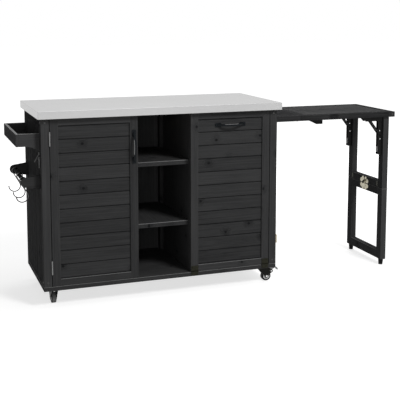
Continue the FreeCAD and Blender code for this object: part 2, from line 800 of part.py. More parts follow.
def frame_screws():
    """Screw heads seated on the posts and rails, and on the opener's plate."""
    heads = []
    for x in (POST / 2.0, CABINET_W - POST / 2.0):
        for z in (SLAB_Z0 - SCREW_TOP_INSET, FLOOR_TOP + SCREW_BOTTOM_INSET):
            heads.append(cylinder(V(x, 0.0, z), V(x, -SCREW_T, z), SCREW_R))
            back = CABINET_D
            heads.append(cylinder(V(x, back, z), V(x, back + SCREW_T, z), SCREW_R))
    for face, out in ((0.0, -SCREW_T), (CABINET_W, CABINET_W + SCREW_T)):
        for y in (POST / 2.0, CABINET_D - POST / 2.0):
            for z in (SLAB_Z0 - SCREW_TOP_INSET, FLOOR_TOP + SCREW_BOTTOM_INSET):
                heads.append(cylinder(V(face, y, z), V(out, y, z), SCREW_R))
    return heads


def table_row(x0, x1, y0, y1):
    """Slats along X with their show face up."""
    return board_row(V(x0, y0, TABLE_TOP), V(0.0, y1 - y0, 0.0), V(0.0, 0.0, -TABLE_SLAT_T),
                     V(x1 - x0, 0.0, 0.0), TABLE_SLAT_COUNT, TABLE_SLAT_GAP)


def gusset(y):
    points = [
        V(TABLE_X0, y, TABLE_Z0),
        V(TABLE_X0, y, TABLE_Z0 - GUSSET_DROP),
        V(TABLE_X0 + CLEAT_W, y, TABLE_Z0 - GUSSET_DROP),
        V(TABLE_X0 + GUSSET_REACH, y, TABLE_Z0 - CLEAT_W),
        V(TABLE_X0 + GUSSET_REACH, y, TABLE_Z0),
    ]
    return prism(points, V(0.0, GUSSET_T, 0.0))


def table_rails(x0, x1):
    front = box(x0, x1, TABLE_Y0, TABLE_Y0 + TABLE_RAIL_W, TABLE_Z0, TABLE_TOP)
    rear = box(x0, x1, TABLE_Y1 - TABLE_RAIL_W, TABLE_Y1, TABLE_Z0, TABLE_TOP)
    return [front, rear]


def leaf_ledge():
    """Fixed strip of the table top with its cleat and two gussets below."""
    y0 = TABLE_Y0 + TABLE_RAIL_W
    y1 = TABLE_Y1 - TABLE_RAIL_W
    end_x = LEDGE_X1 - TABLE_END_W
    pieces = table_rails(TABLE_X0, LEDGE_X1)
    pieces.append(box(end_x, LEDGE_X1, y0, y1, TABLE_Z0, TABLE_TOP))
    pieces += table_row(TABLE_X0, end_x, y0, y1)
    cleat = box(TABLE_X0, TABLE_X0 + CLEAT_W, TABLE_Y0 + CLEAT_INSET, TABLE_Y1,
                TABLE_Z0 - CLEAT_H, TABLE_Z0)
    for y in (TABLE_Y0 + GUSSET_MID_INSET, TABLE_Y1 - GUSSET_T):
        bracket = gusset(y)
        cleat = cleat.cut(bracket)
        pieces.append(bracket)
    return pieces + cleat.Solids


def leg_keeper():
    """Tapered block under the front rail, up to the folded front leg."""
    x0 = TABLE_X0 + KEEPER_X0
    y = TABLE_Y0
    points = [
        V(x0, y, TABLE_Z0),
        V(x0 + KEEPER_TAPER, y, TABLE_Z0 - KEEPER_DROP / 2.0),
        V(x0 + 2.0 * KEEPER_TAPER, y, TABLE_Z0 - KEEPER_DROP),
        V(x0 + KEEPER_L, y, TABLE_Z0 - KEEPER_DROP),
        V(x0 + KEEPER_L, y, TABLE_Z0),
    ]
    return prism(points, V(0.0, KEEPER_Y1 - TABLE_Y0, 0.0))


def leaf_frame():
    y0 = TABLE_Y0 + TABLE_RAIL_W
    y1 = TABLE_Y1 - TABLE_RAIL_W
    end_x = TABLE_X1 - TABLE_END_W
    batten_top = TABLE_TOP - TABLE_SLAT_T
    bracket_x0 = STRUT_PIN_X - EAR_AHEAD
    bracket_x1 = PIVOT_X + EAR_R
    pieces = table_rails(LEAF_X0, end_x)
    pieces.append(box(end_x, TABLE_X1, TABLE_Y0, TABLE_Y1, TABLE_Z0, TABLE_TOP))
    pieces.append(box(LEAF_X0, LEAF_X0 + TABLE_END_W, y0, y1, TABLE_Z0, TABLE_TOP))
    middle_x = TABLE_X0 + BATTEN_X
    pieces.append(box(middle_x, middle_x + BATTEN_W, y0, y1, TABLE_Z0, batten_top))
    pieces.append(box(bracket_x0, bracket_x1, y0, y1, TABLE_Z0, batten_top))
    pieces.append(leg_keeper())
    return pieces


def leaf_slats():
    return table_row(LEAF_X0 + TABLE_END_W, TABLE_X1 - TABLE_END_W,
                     TABLE_Y0 + TABLE_RAIL_W, TABLE_Y1 - TABLE_RAIL_W)


def table_hinge(y):
    centre = V(LEAF_AXIS_X, y, LEAF_AXIS_Z)
    half = TABLE_HINGE_L / 2.0
    z0 = TABLE_Z0 - TABLE_HINGE_T
    fixed = box(LEAF_AXIS_X - TABLE_HINGE_LEAF, LEAF_AXIS_X - LEAF_GAP,
                y - half, y + half, z0, TABLE_Z0)
    moving = box(LEAF_AXIS_X + LEAF_GAP, LEAF_AXIS_X + TABLE_HINGE_LEAF,
                 y - half, y + half, z0, TABLE_Z0)
    return butt_hinge(centre, V(0.0, 1.0, 0.0), TABLE_HINGE_L, TABLE_KNUCKLE_R, fixed, moving)


def leg_centres():
    return [LEG_FRONT_Y + LEG_D / 2.0, LEG_REAR_Y + LEG_D / 2.0]


def leg_bracket(y):
    """Base plate, two ears, the leg's pivot pin and two short strut pins."""
    x0 = STRUT_PIN_X - EAR_AHEAD
    x1 = PIVOT_X + EAR_R
    top = TABLE_Z0 - BASE_T
    pieces = [box(x0, x1, y - EAR_OUTER, y + EAR_OUTER, top, TABLE_Z0)]
    low = PIVOT_Z - EAR_BELOW_PIVOT
    for sign in (-1.0, 1.0):
        near = y + sign * EAR_INNER
        far = y + sign * EAR_OUTER
        bar = y + sign * BAR_INNER
        side0 = min(near, far)
        side1 = max(near, far)
        ear = [
            V(x0, side0, top),
            V(x0 + EAR_TAPER, side0, low),
            V(PIVOT_X, side0, low),
            V(PIVOT_X, side0, top),
        ]
        pieces.append(prism(ear, V(0.0, side1 - side0, 0.0)))
        pieces.append(box(PIVOT_X, x1, side0, side1, PIVOT_Z, top))
        pieces.append(cylinder(V(PIVOT_X, side0, PIVOT_Z), V(PIVOT_X, side1, PIVOT_Z), EAR_R))
        pin_start = V(STRUT_PIN_X, bar, STRUT_PIN_Z)
        pieces.append(cylinder(pin_start, V(STRUT_PIN_X, far, STRUT_PIN_Z), PIVOT_R))
    pivot = cylinder(V(PIVOT_X, y - EAR_OUTER, PIVOT_Z), V(PIVOT_X, y + EAR_OUTER, PIVOT_Z),
                     PIVOT_R)
    return fused(pieces + [pivot])


def strut_pair(y):
    """Flat bars at each side of the channel, pinned to the ears at their top."""
    top = V(STRUT_PIN_X, 0.0, STRUT_PIN_Z)
    foot = V(PIVOT_X, 0.0, STRUT_FOOT_Z)
    run = unit(foot - top)
    side = V(run.z, 0.0, -run.x) * (STRUT_W / 2.0)
    bars = []
    for sign in (-1.0, 1.0):
        inner = y + sign * BAR_INNER
        outer = y + sign * (BAR_INNER + STRUT_T)
        y0 = V(0.0, inner, 0.0)
        thick = V(0.0, outer - inner, 0.0)
        flat = prism([top + side + y0, foot + side + y0, foot - side + y0, top - side + y0], thick)
        ends = [cylinder(end + y0, end + y0 + thick, STRUT_W / 2.0) for end in (top, foot)]
        rivet_y = V(0.0, outer, 0.0)
        rivet = cylinder(foot + rivet_y, foot + rivet_y + V(0.0, sign * RIVET_T, 0.0), RIVET_R)
        bore = cylinder(top + y0, top + y0 + thick, PIVOT_R + PIN_CLEARANCE)
        bars.append(fused([flat] + ends + [rivet]).cut(bore))
    return bars


def leg_channel(y):
    """Folded channel on a leg, open towards the cabinet, its top cut clear of the bracket."""
    half = CHANNEL_W / 2.0
    x0 = LEG_X0 - CHANNEL_D
    z1 = PIVOT_Z + CHANNEL_ABOVE_PIVOT
    points = [
        V(x0, y - half, CHANNEL_Z0),
        V(LEG_X0, y - half, CHANNEL_Z0),
        V(LEG_X0, y - half, z1),
        V(x0 + CHANNEL_CHAMFER, y - half, z1),
        V(x0, y - half, z1 - CHANNEL_CHAMFER),
    ]
    outer = prism(points, V(0.0, CHANNEL_W, 0.0))
    inner = box(x0, LEG_X0 - CHANNEL_T, y - half + CHANNEL_T, y + half - CHANNEL_T,
                CHANNEL_Z0, z1)
    bore = cylinder(V(PIVOT_X, y - half, PIVOT_Z), V(PIVOT_X, y + half, PIVOT_Z),
                    PIVOT_R + PIN_CLEARANCE)
    return outer.cut(inner).cut(bore)


def leg_posts(z0, z1):
    return [box(LEG_X0, LEG_X1, y - LEG_D / 2.0, y + LEG_D / 2.0, z0, z1) for y in leg_centres()]


def leg_rail(z0, z1):
    return box(LEG_X0, LEG_X1, LEG_FRONT_Y + LEG_D, LEG_REAR_Y, z0, z1)


def upper_leg_frame():
    z0 = KNEE_Z + KNEE_GAP / 2.0
    return leg_posts(z0, LEG_TOP) + [leg_rail(z0, KNEE_Z + KNEE_RAIL_H)]


def lower_leg_frame():
    z1 = KNEE_Z - KNEE_GAP / 2.0
    rails = [leg_rail(FOOT_H, FOOT_H + FOOT_RAIL_H), leg_rail(KNEE_Z - KNEE_RAIL_H, z1)]
    return leg_posts(FOOT_H, z1) + rails


def leg_feet():
    return [Part.makeCone(FOOT_BOTTOM_R, FOOT_TOP_R, FOOT_H, V(LEG_CENTRE_X, y, 0.0))
            for y in leg_centres()]


def knee_hinge(y):
    centre = V(KNEE_AXIS_X, y, KNEE_Z)
    half = KNEE_HINGE_L / 2.0
    x1 = LEG_X1 + KNEE_HINGE_T
    upper = box(LEG_X1, x1, y - half, y + half, KNEE_Z + LEAF_GAP, KNEE_Z + KNEE_HINGE_LEAF)
    lower = box(LEG_X1, x1, y - half, y + half, KNEE_Z - KNEE_HINGE_LEAF, KNEE_Z - LEAF_GAP)
    return butt_hinge(centre, V(0.0, 1.0, 0.0), KNEE_HINGE_L, KNEE_KNUCKLE_R, upper, lower)


def latch_plate(side):
    """Lobed plate above (side 1) or below (side -1) the knee's seam."""
    x0 = LEG_X0 - LATCH_T
    seam_z = KNEE_Z + side * LATCH_INSET
    far_z = seam_z + side * LATCH_BODY_H
    pieces = [box(x0, LEG_X0, KNEE_MID_Y - SIDE_LOBE_OUT, KNEE_MID_Y + SIDE_LOBE_OUT,
                  min(seam_z, far_z), max(seam_z, far_z))]
    lobes = (
        (SIDE_LOBE_OUT, seam_z + side * SIDE_LOBE_R, SIDE_LOBE_R),
        (END_LOBE_OUT, seam_z + side * (LATCH_H - END_LOBE_R), END_LOBE_R),
    )
    for out, z, radius in lobes:
        for y in (KNEE_MID_Y - out, KNEE_MID_Y + out):
            pieces.append(cylinder(V(x0, y, z), V(LEG_X0, y, z), radius))
    return fused(pieces)


def lever_centre():
    return V(LEG_X0 - LATCH_T, KNEE_MID_Y, KNEE_Z + LEVER_RISE)


def knee_corner_plates():
    """Small plates over the joints between the knee rail and the posts."""
    z0 = KNEE_Z + CORNER_PLATE_RISE
    front_y = LEG_FRONT_Y + LEG_D
    return [box(LEG_X0 - CORNER_PLATE_T, LEG_X0, y, y + CORNER_PLATE_W, z0, z0 + CORNER_PLATE_H)
            for y in (front_y, LEG_REAR_Y - CORNER_PLATE_W)]


def knee_latch_base():
    centre = lever_centre()
    tip = centre - V(2.0 * LEVER_GAP + LEVER_T, 0.0, 0.0)
    pin = cylinder(centre, tip, LEVER_PIN_R)
    head = cylinder(tip, tip - V(LEVER_HEAD_T, 0.0, 0.0), LEVER_HEAD_R)
    return [fused([latch_plate(1.0), pin, head])] + knee_corner_plates()


def knee_latch_lever():
    """Round dish with two upright wings, which turns about the latch pin."""
    back = lever_centre() - V(LEVER_GAP, 0.0, 0.0)
    front = back - V(LEVER_T, 0.0, 0.0)
    edge = front - V(WING_OUT, 0.0, 0.0)
    hub = cylinder(back, front, LEVER_HUB_R)
    wings = box(edge.x, front.x, back.y - WING_REACH, back.y + WING_REACH,
                back.z - WING_T / 2.0, back.z + WING_T / 2.0)
    wings = wings.cut(cylinder(front, edge, LEVER_HEAD_R + WING_HEAD_GAP))
    wings.rotate(back, V(1.0, 0.0, 0.0), WING_TURN)
    bore = cylinder(back, front, LEVER_PIN_R + PIN_CLEARANCE)
    return [fused([hub] + wings.Solids).cut(bore)]


def knee_latch_keeper():
    seam_z = KNEE_Z - LATCH_INSET
    x0 = LEG_X0 - LATCH_T - KEEPER_LIP
    y0 = KNEE_MID_Y - KEEPER_LIP_W / 2.0
    lip = box(x0, LEG_X0 - LATCH_T, y0, y0 + KEEPER_LIP_W, seam_z - LATCH_H / 2.0,
              seam_z - LATCH_INSET)
    return [fused([latch_plate(-1.0), lip])]


def leg_hardware(maker):
    pairs = [maker(y) for y in leg_centres()]
    return [pair[0] for pair in pairs], [pair[1] for pair in pairs]


def caster_plate(x, y):
    """Mounting plate with the kingpin and its head below."""
    half = CASTER_PLATE / 2.0
    plate_z = GROUND_GAP - CASTER_PLATE_T
    plate = box(x - half, x + half, y - half, y + half, plate_z, GROUND_GAP)
    head_z = FORK_TOP_Z - RACE_GAP
    pin = cylinder(V(x, y, head_z), V(x, y, plate_z), KINGPIN_R)
    head = cylinder(V(x, y, head_z - KINGPIN_HEAD_T), V(x, y, head_z), KINGPIN_HEAD_R)
    return fused([plate, pin, head])


def placed_caster(shape, x, y, heading):
    turned = shape.copy()
    turned.rotate(V(0.0, 0.0, 0.0), V(0.0, 0.0, 1.0), heading)
    turned.translate(V(x, y, 0.0))
    return turned


def fork_inner():
    return TYRE_W / 2.0 + FORK_SIDE_GAP


def fork_outer():
    return fork_inner() + FORK_T


def pedal_pin():
    return V(CASTER_TRAIL + PEDAL_PIN_OUT, 0.0, PEDAL_PIN_Z)


def caster_fork(braked):
    """Swivel race, bridge and two cheeks beside the wheel, as one bent plate."""
    outer = fork_outer()
    pin = pedal_pin()
    race_top = GROUND_GAP - CASTER_PLATE_T - RACE_GAP
    shelf_top = FORK_TOP_Z + FORK_T
    race = cylinder(V(0.0, 0.0, FORK_TOP_Z), V(0.0, 0.0, race_top), RACE_R)
    bridge = box(-RACE_R, FORK_BRIDGE_REACH, -outer, outer, FORK_TOP_Z, shelf_top)
    pieces = [race, bridge]
    for y in (-outer, fork_inner()):
        points = [
            V(-RACE_R, y, shelf_top),
            V(CASTER_TRAIL - AXLE_BOSS_R, y, WHEEL_R),
            V(CASTER_TRAIL + AXLE_BOSS_R, y, WHEEL_R),
            V(pin.x, y, pin.z - FORK_TAIL_R),
            V(pin.x + FORK_TAIL_R, y, pin.z),
            V(FORK_BRIDGE_REACH, y, shelf_top),
        ]
        thick = V(0.0, FORK_T, 0.0)
        pieces.append(prism(points, thick))
        boss = V(CASTER_TRAIL, y, WHEEL_R)
        tail = V(pin.x, y, pin.z)
        pieces.append(cylinder(boss, boss + thick, AXLE_BOSS_R))
        pieces.append(cylinder(tail, tail + thick, FORK_TAIL_R))
    side = V(0.0, outer, 0.0)
    axle = V(CASTER_TRAIL, 0.0, WHEEL_R)
    fork = fused(pieces)
    fork = fork.cut(cylinder(axle - side, axle + side, AXLE_R + PIN_CLEARANCE))
    if braked:
        fork = fork.cut(cylinder(pin - side, pin + side, PEDAL_PIN_R + PIN_CLEARANCE))
    return fork.cut(cylinder(V(0.0, 0.0, FORK_TOP_Z), V(0.0, 0.0, race_top),
                             KINGPIN_R + PIN_CLEARANCE))


def cross_pin(centre, radius, head_r, head_t):
    """A pin through both cheeks with a head on each side."""
    side = V(0.0, fork_outer(), 0.0)
    head = V(0.0, head_t, 0.0)
    shank = cylinder(centre - side, centre + side, radius)
    heads = [cylinder(centre - side, centre - side - head, head_r),
             cylinder(centre + side, centre + side + head, head_r)]
    return fused([shank] + heads)


def fork_pieces(braked):
    axle = V(CASTER_TRAIL, 0.0, WHEEL_R)
    pieces = [caster_fork(braked), cross_pin(axle, AXLE_R, AXLE_HEAD_R, AXLE_HEAD_T)]
    if braked:
        pieces.append(cross_pin(pedal_pin(), PEDAL_PIN_R, PEDAL_PIN_HEAD_R, PEDAL_PIN_HEAD_T))
    return pieces


def caster_tyre():
    start = V(CASTER_TRAIL, -TYRE_W / 2.0, WHEEL_R)
    end = V(CASTER_TRAIL, TYRE_W / 2.0, WHEEL_R)
    disc = cylinder(start, end, WHEEL_R)
    rims = [edge for edge in disc.Edges
            if edge.Closed and abs(edge.Curve.Radius - WHEEL_R) < RADIUS_TOLERANCE]
    return disc.makeFillet(TYRE_ROUND, rims).cut(cylinder(start, end, HUB_R))


def caster_hub():
    start = V(CASTER_TRAIL, -HUB_W / 2.0, WHEEL_R)
    end = V(CASTER_TRAIL, HUB_W / 2.0, WHEEL_R)
    return ring(start, end, HUB_R, AXLE_R + PIN_CLEARANCE)


def pedal_plate(pin, half):
    """Flat tread over the pin, then a humped stretch that ends in a lip."""
    low = pin.z + PEDAL_RISE
    high = low + PEDAL_T
    tail_x = pin.x - PEDAL_TAIL_L
    bend_x = pin.x + PEDAL_FLAT_L
    end_x = pin.x + PEDAL_REACH
    crest_x = (bend_x + end_x) / 2.0
    lip_z = low - PEDAL_LIP_DROP

    def at(x, z):
        return V(x, -half, z)

    edges = [
        Part.LineSegment(at(tail_x, low), at(tail_x, high)),
        Part.LineSegment(at(tail_x, high), at(bend_x, high)),
        Part.Arc(at(bend_x, high), at(crest_x, high + PEDAL_CREST), at(end_x, lip_z)),
        Part.LineSegment(at(end_x, lip_z), at(end_x - PEDAL_T, lip_z)),
        Part.Arc(at(end_x - PEDAL_T, lip_z), at(crest_x, low + PEDAL_CREST), at(bend_x, low)),
        Part.LineSegment(at(bend_x, low), at(tail_x, low)),
    ]
    outline = Part.Wire([edge.toShape() for edge in edges])
    return Part.Face(outline).extrude(V(0.0, 2.0 * half, 0.0))


def caster_pedal():
    """Foot lever with a nose that nears the tyre when it is pushed down."""
    half = TYRE_W / 2.0
    pin = pedal_pin()
    side = V(0.0, half, 0.0)
    hub = cylinder(pin - side, pin + side, PEDAL_HUB_R)
    nose = pin - V(PEDAL_NOSE_BACK, 0.0, PEDAL_NOSE_DOWN)
    web_side = V(0.0, PEDAL_WEB_W / 2.0, 0.0)
    tip = cylinder(nose - web_side, nose + web_side, PEDAL_NOSE_R)
    across = V(PEDAL_HUB_R, 0.0, 0.0)
    nose_across = V(PEDAL_NOSE_R, 0.0, 0.0)
    lift = V(0.0, 0.0, PEDAL_RISE)
    outlines = (
        [pin - across, pin + across, nose + nose_across, nose - nose_across],
        [pin - across, pin + across, pin + across + lift, pin - across + lift],
    )
    webs = [prism([point - web_side for point in outline], web_side * 2.0)
            for outline in outlines]
    bore = cylinder(pin - side, pin + side, PEDAL_PIN_R + PIN_CLEARANCE)
    return fused([hub, pedal_plate(pin, half), tip] + webs).cut(bore)


def caster_places():
    near = CASTER_INSET
    far_x = CABINET_W - CASTER_INSET
    far_y = CABINET_D - CASTER_INSET
    return {
        "front_left": (near, near, FRONT_LEFT_HEADING),
        "front_right": (far_x, near, FRONT_RIGHT_HEADING),
        "rear_left": (near, far_y, REAR_LEFT_HEADING),
        "rear_right": (far_x, far_y, REAR_RIGHT_HEADING),
    }


def export_casters():
    plates = []
    for place, (x, y, heading) in caster_places().items():
        braked = place.startswith("front")
        plates.append(caster_plate(x, y))
        export("fork_" + place, [placed_caster(piece, x, y, heading)
                                 for piece in fork_pieces(braked)])
        export("tyre_" + place, [placed_caster(caster_tyre(), x, y, heading)])
        export("hub_" + place, [placed_caster(caster_hub(), x, y, heading)])
        if braked:
            export("pedal_" + place, [placed_caster(caster_pedal(), x, y, heading)])
    export("caster_plates", plates)


def export_cabinet():
    core = slab_box(SKIN_T)
    export("countertop_core", [core])
    export("countertop_skin", [slab_box(0.0).cut(core)])
    export("corner_posts", corner_posts())
    export("cabinet_rails", cabinet_rails())
    export("side_boards", side_boards())
    export("back_boards", back_boards())
    export("floor_board", floor_board())
    export("dividers", dividers())
    export("shelves", shelves())
    export("spice_tray", spice_tray())
    export("towel_brackets", towel_brackets())
    export("towel_rod", towel_rod())
    export("bottle_opener", bottle_opener())
    export("door_catch", door_catch())
    export("frame_screws", frame_screws())
    bumper_x = CABINET_W + BUMPER_OUT
    bumper_z = FLOOR_TOP + BUMPER_RISE
    export("side_bumper", [box(CABINET_W, bumper_x, BUMPER_Y0, BUMPER_Y0 + BUMPER_W,
                               bumper_z, bumper_z + BUMPER_H)])


def export_doors():
    left = (LEFT_DOOR_X0, BAY_X0)
    right = (BAY_X1, RIGHT_DOOR_X1)
    export("left_door_frame", door_frame(*left))
    export("left_door_slats", door_slats(*left))
    export("bin_door_frame", door_frame(*right))
    export("bin_door_slats", door_slats(*right))
    out = V(0.0, -1.0, 0.0)
    stile_centre = V(BAY_X0 - STILE_W / 2.0, 0.0, LEFT_HANDLE_Z)
    export("left_door_handle", [bow_handle(stile_centre, V(0.0, 0.0, 1.0), out)])
    slat_centre = V((right[0] + right[1]) / 2.0, SLAT_FACE, PANEL_Z1 - SLAT_PITCH / 2.0)
    export("bin_door_handle", [bow_handle(slat_centre, V(1.0, 0.0, 0.0), out)])
    export("bin_rack", bin_rack())
    heights = (DOOR_Z1 - DOOR_HINGE_TOP_INSET, DOOR_Z0 + DOOR_HINGE_BOTTOM_INSET)
    left_pairs = [left_door_hinge(z) for z in heights]
    stile_centres = (right[0] + STILE_W / 2.0, right[1] - STILE_W / 2.0)
    bin_pairs = [bin_hinge(x) for x in stile_centres]
    export("cabinet_hinge_leaves", [pair[0] for pair in left_pairs + bin_pairs])
    export("left_door_hinge_leaves", [pair[1] for pair in left_pairs])
    export("bin_door_hinge_leaves", [pair[1] for pair in bin_pairs])


def export_side_table():
    export("leaf_ledge", leaf_ledge())
    export("leaf_frame", leaf_frame())
    export("leaf_slats", leaf_slats())
    hinge_ys = (TABLE_Y0 + TABLE_HINGE_INSET, TABLE_Y1 - TABLE_HINGE_INSET)
    pairs = [table_hinge(y) for y in hinge_ys]
    export("ledge_hinge_leaves", [pair[0] for pair in pairs])
    export("leaf_hinge_leaves", [pair[1] for pair in pairs])
    export("leg_brackets", [leg_bracket(y) for y in leg_centres()])
    bars = [bar for y in leg_centres() for bar in strut_pair(y)]
    export("leg_struts", bars)
    export("leg_channels", [leg_channel(y) for y in leg_centres()])
    export("upper_leg_frame", upper_leg_frame())
    export("lower_leg_frame", lower_leg_frame())
    export("leg_feet", leg_feet())
    upper, lower = leg_hardware(knee_hinge)
    export("knee_hinge_upper", upper)
    export("knee_hinge_lower", lower)
    export("knee_latch_base", knee_latch_base())
    export("knee_latch_lever", knee_latch_lever())
    export("knee_latch_keeper", knee_latch_keeper())


def export_hooks():
    places = {"front": HOOK_FRONT_Y, "middle": HOOK_MIDDLE_Y, "rear": HOOK_REAR_Y}
    for place, y in places.items():
        export("s_hook_" + place, [s_hook(y)])


os.makedirs("parts", exist_ok=True)
export_cabinet()
export_doors()
export_side_table()
export_hooks()
export_casters()
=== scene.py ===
import bpy
import json
import math
import random
from mathutils import Matrix, Vector


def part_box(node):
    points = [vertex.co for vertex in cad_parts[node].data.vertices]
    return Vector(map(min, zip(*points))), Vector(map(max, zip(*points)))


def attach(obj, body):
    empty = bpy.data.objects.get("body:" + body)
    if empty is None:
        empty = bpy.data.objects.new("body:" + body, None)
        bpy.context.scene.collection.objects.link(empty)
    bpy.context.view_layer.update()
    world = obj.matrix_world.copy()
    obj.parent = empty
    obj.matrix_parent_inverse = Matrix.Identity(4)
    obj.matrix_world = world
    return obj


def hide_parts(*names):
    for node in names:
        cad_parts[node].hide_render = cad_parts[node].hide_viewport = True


# Black timber cabinet on casters with a sheet metal worktop, two doors, an open bay,
# a spice tray and towel rod on the left and a folding side table on the right.
# Metres, X to the right along the front, Y to the back, Z up.

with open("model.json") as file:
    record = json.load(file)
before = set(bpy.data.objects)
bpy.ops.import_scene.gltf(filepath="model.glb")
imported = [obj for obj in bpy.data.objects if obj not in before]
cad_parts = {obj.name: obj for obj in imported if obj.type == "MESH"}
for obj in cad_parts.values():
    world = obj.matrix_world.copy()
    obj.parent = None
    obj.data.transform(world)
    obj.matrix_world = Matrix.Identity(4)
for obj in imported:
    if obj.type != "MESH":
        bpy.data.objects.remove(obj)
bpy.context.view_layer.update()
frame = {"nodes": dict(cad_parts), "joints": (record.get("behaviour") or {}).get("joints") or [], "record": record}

MM = 0.001
X = Vector((1.0, 0.0, 0.0))
Y = Vector((0.0, 1.0, 0.0))
Z = Vector((0.0, 0.0, 1.0))
FRONT = -Y
HOME = {node: body
        for body, nodes in frame["record"]["behaviour"]["bodies"].items() for node in nodes}

# Reading the CAD nodes
GRID = 1e5  # steps to a metre, in which places are compared
MERGE_GAP = 0.005 * MM
FLAT_ANGLE = 0.4
SHARP_ANGLE = 30.0
SMOOTH_ANGLE = 35.0
ALONG = 0.99  # least cosine of a face that looks along a direction
ACROSS = 0.05  # greatest cosine of a face that looks square to a direction
UPWARD = 0.3  # least upward part in the normal of a face on top

# Timber
EASE = 1.6 * MM
WEAR_HIGHLIGHT_FACE_MAX_W = 1.9 * MM  # widest eased edge that shows wear and a painted highlight
RIM_WEAR_HIGHLIGHT_MAX_W = 14.0 * MM  # widest rim of the tray that shows wear and a painted highlight
# share of the wear and painted highlight on side faces; faces on top get all of it
SIDE_WEAR_HIGHLIGHT = 0.12
CRACK = 3.8 * MM
CRACK_DEPTH = 6.0 * MM
CHAMFER = 2.0 * MM
SLAT_CHAMFER = 3.0 * MM
SLAT_EASE = 0.4 * MM
TABLE_EDGE_H = 29.0 * MM  # what the table's frame has below it is painted deep black as shade under the table
BOX_CORNERS = 8
GRAIN_SEED = 5
GRAIN_SHIFT = 9.0
TONE_SPREAD = 0.5

# Wood grain: scales along and across the boards, and shares of the stain's tone
KNOT_CELLS = (8.5, 9.5, 1.0)
KNOT_CHANCE = (0.83, 0.84)  # only the cells above it hold a knot
KNOT_R = (0.020, 0.068)
HALO_R = (0.05, 0.34)
WAVER_SCALE = (1.6, 9.0, 9.0)
FLOW_SCALE = (2.6, 230.0, 230.0)
FIBRE_SCALE = (6.0, 4.0, 4.0)
BLOTCH_SCALE = (6.0, 22.0, 22.0)
WAVER_BEND = 2.4
HALO_BEND = 3.0
STREAK_RANGE = (0.34, 0.68)
STREAK_SHARE = 0.24
BLOTCH_SHARE = 0.26
TONE_SHARE = 0.32
KNOT_SHARE = 0.6
HALO_SHARE = 0.14
STAIN_STOPS = (
    (0.0, (0.0120, 0.0122, 0.0128)),
    (0.3, (0.0360, 0.0362, 0.0368)),
    (0.7, (0.0600, 0.0602, 0.0610)),
    (1.0, (0.0900, 0.0902, 0.0912)),
)
# lighter grey of worn edges, partly wear and partly a painted highlight from above
WEAR_HIGHLIGHT_TONE = 0.20
WEAR_HIGHLIGHT_SHARE = 0.75
WOOD_ROUGHNESS = 0.64
FIBRE_ROUGHNESS = 0.22
WEAR_SHINE = 0.5
WOOD_RELIEF = 0.25 * MM

# Metal, board and plastic grain
BRUSHING_SCALE = (5.0, 420.0, 420.0)
MOTTLE_SCALE = 240.0
CLOUD_SCALE = 3.0
SCRATCH_SCALE = (900.0, 900.0, 60.0)
PEEL_SCALE = 900.0
CHIP_SCALE = 220.0
COAT_PATCH_SCALE = 60.0
PLATE_PATCH_SCALE = 120.0
MOULD_PATCH_SCALE = 45.0
METAL_RELIEF = 0.02 * MM
PEEL_RELIEF = 0.03 * MM
MOULD_RELIEF = 0.05 * MM
CHIP_RELIEF = 0.1 * MM

# Sheet metal worktop
SKIN_T = 1.2 * MM
SKIN_CORNER_R = 4.0 * MM
SKIN_EDGE_R = 2.5 * MM
SKIN_HEM = 14.0 * MM
CORE_GAP = 0.1 * MM

# Fasteners
SCREW_R = 4.5 * MM
SCREW_H = 1.2 * MM
SMALL_SCREW_R = 2.6 * MM
SMALL_SCREW_H = 0.8 * MM
HEAD_SIDES = 24
DOME_SHARE = 0.7  # share of a head's height that its rounding takes
RIM_SHARE = 0.9
SLOT_W = 0.24  # shares of the screw's radius and height
SLOT_REACH = 0.62
SLOT_DEPTH = 0.5
RIVET_R = 4.0 * MM
RIVET_H = 1.7 * MM
LOW_RIVET_R = 3.0 * MM
LOW_RIVET_H = 0.4 * MM
TABLE_SCREW_INSET = 16.0 * MM
TABLE_SCREW_DROP = 13.0 * MM

# Handles
HANDLE_L = 160.0 * MM
HANDLE_REACH = 30.0 * MM
HANDLE_SPAN = 144.0 * MM
HANDLE_PLATE_L = 32.0 * MM
HANDLE_PLATE_W = 20.0 * MM
HANDLE_PLATE_T = 2.5 * MM
HANDLE_PLATE_CORNER = 5.0 * MM
HANDLE_SCREW_INSET = 4.6 * MM
BOW_W = 11.0 * MM
BOW_T = 6.0 * MM
BOW_CORNER = 1.8 * MM
BOW_STEPS = 28
BOW_SPARE = 0.05  # radians that each end runs on into its foot
BOW_SUNK = 1.0 * MM
# how far the bow's painted highlight reaches each side of its middle
BOW_HIGHLIGHT_HALF = 46.0 * MM
BOW_HIGHLIGHT_TILT = 0.2  # least part of a painted highlight face's normal, forward and up

# Edges, hinges and opener
METAL_EASE = 0.3 * MM
CAST_EASE = 2.0 * METAL_EASE
FOOT_EASE = 3.0 * METAL_EASE
BUMPER_EASE = 4.0 * METAL_EASE
HINGE_T = 1.5 * MM
HINGE_SCREW_INSET = 8.0 * MM
HINGE_SURFACE = 0.3 * MM  # from the middle of a side leaf to its open face
FLUSH_PROUD = 0.1 * MM  # how far a sunk screw stands out
DOOR_HINGE_MIN_L = 50.0 * MM
SIDE_SCREW_INSET = 7.0 * MM
SIDE_SCREW_PITCH = 22.0 * MM
PLATE_SCREWS = 2
PLATE_SCREW_PITCH = 20.0 * MM
TABLE_SCREW_EDGE = 10.0 * MM
TABLE_SCREWS = 3
TABLE_SCREW_PITCH = 20.0 * MM
OPENER_T = 3.5 * MM
OPENER_SCREW_INSET = 4.2 * MM

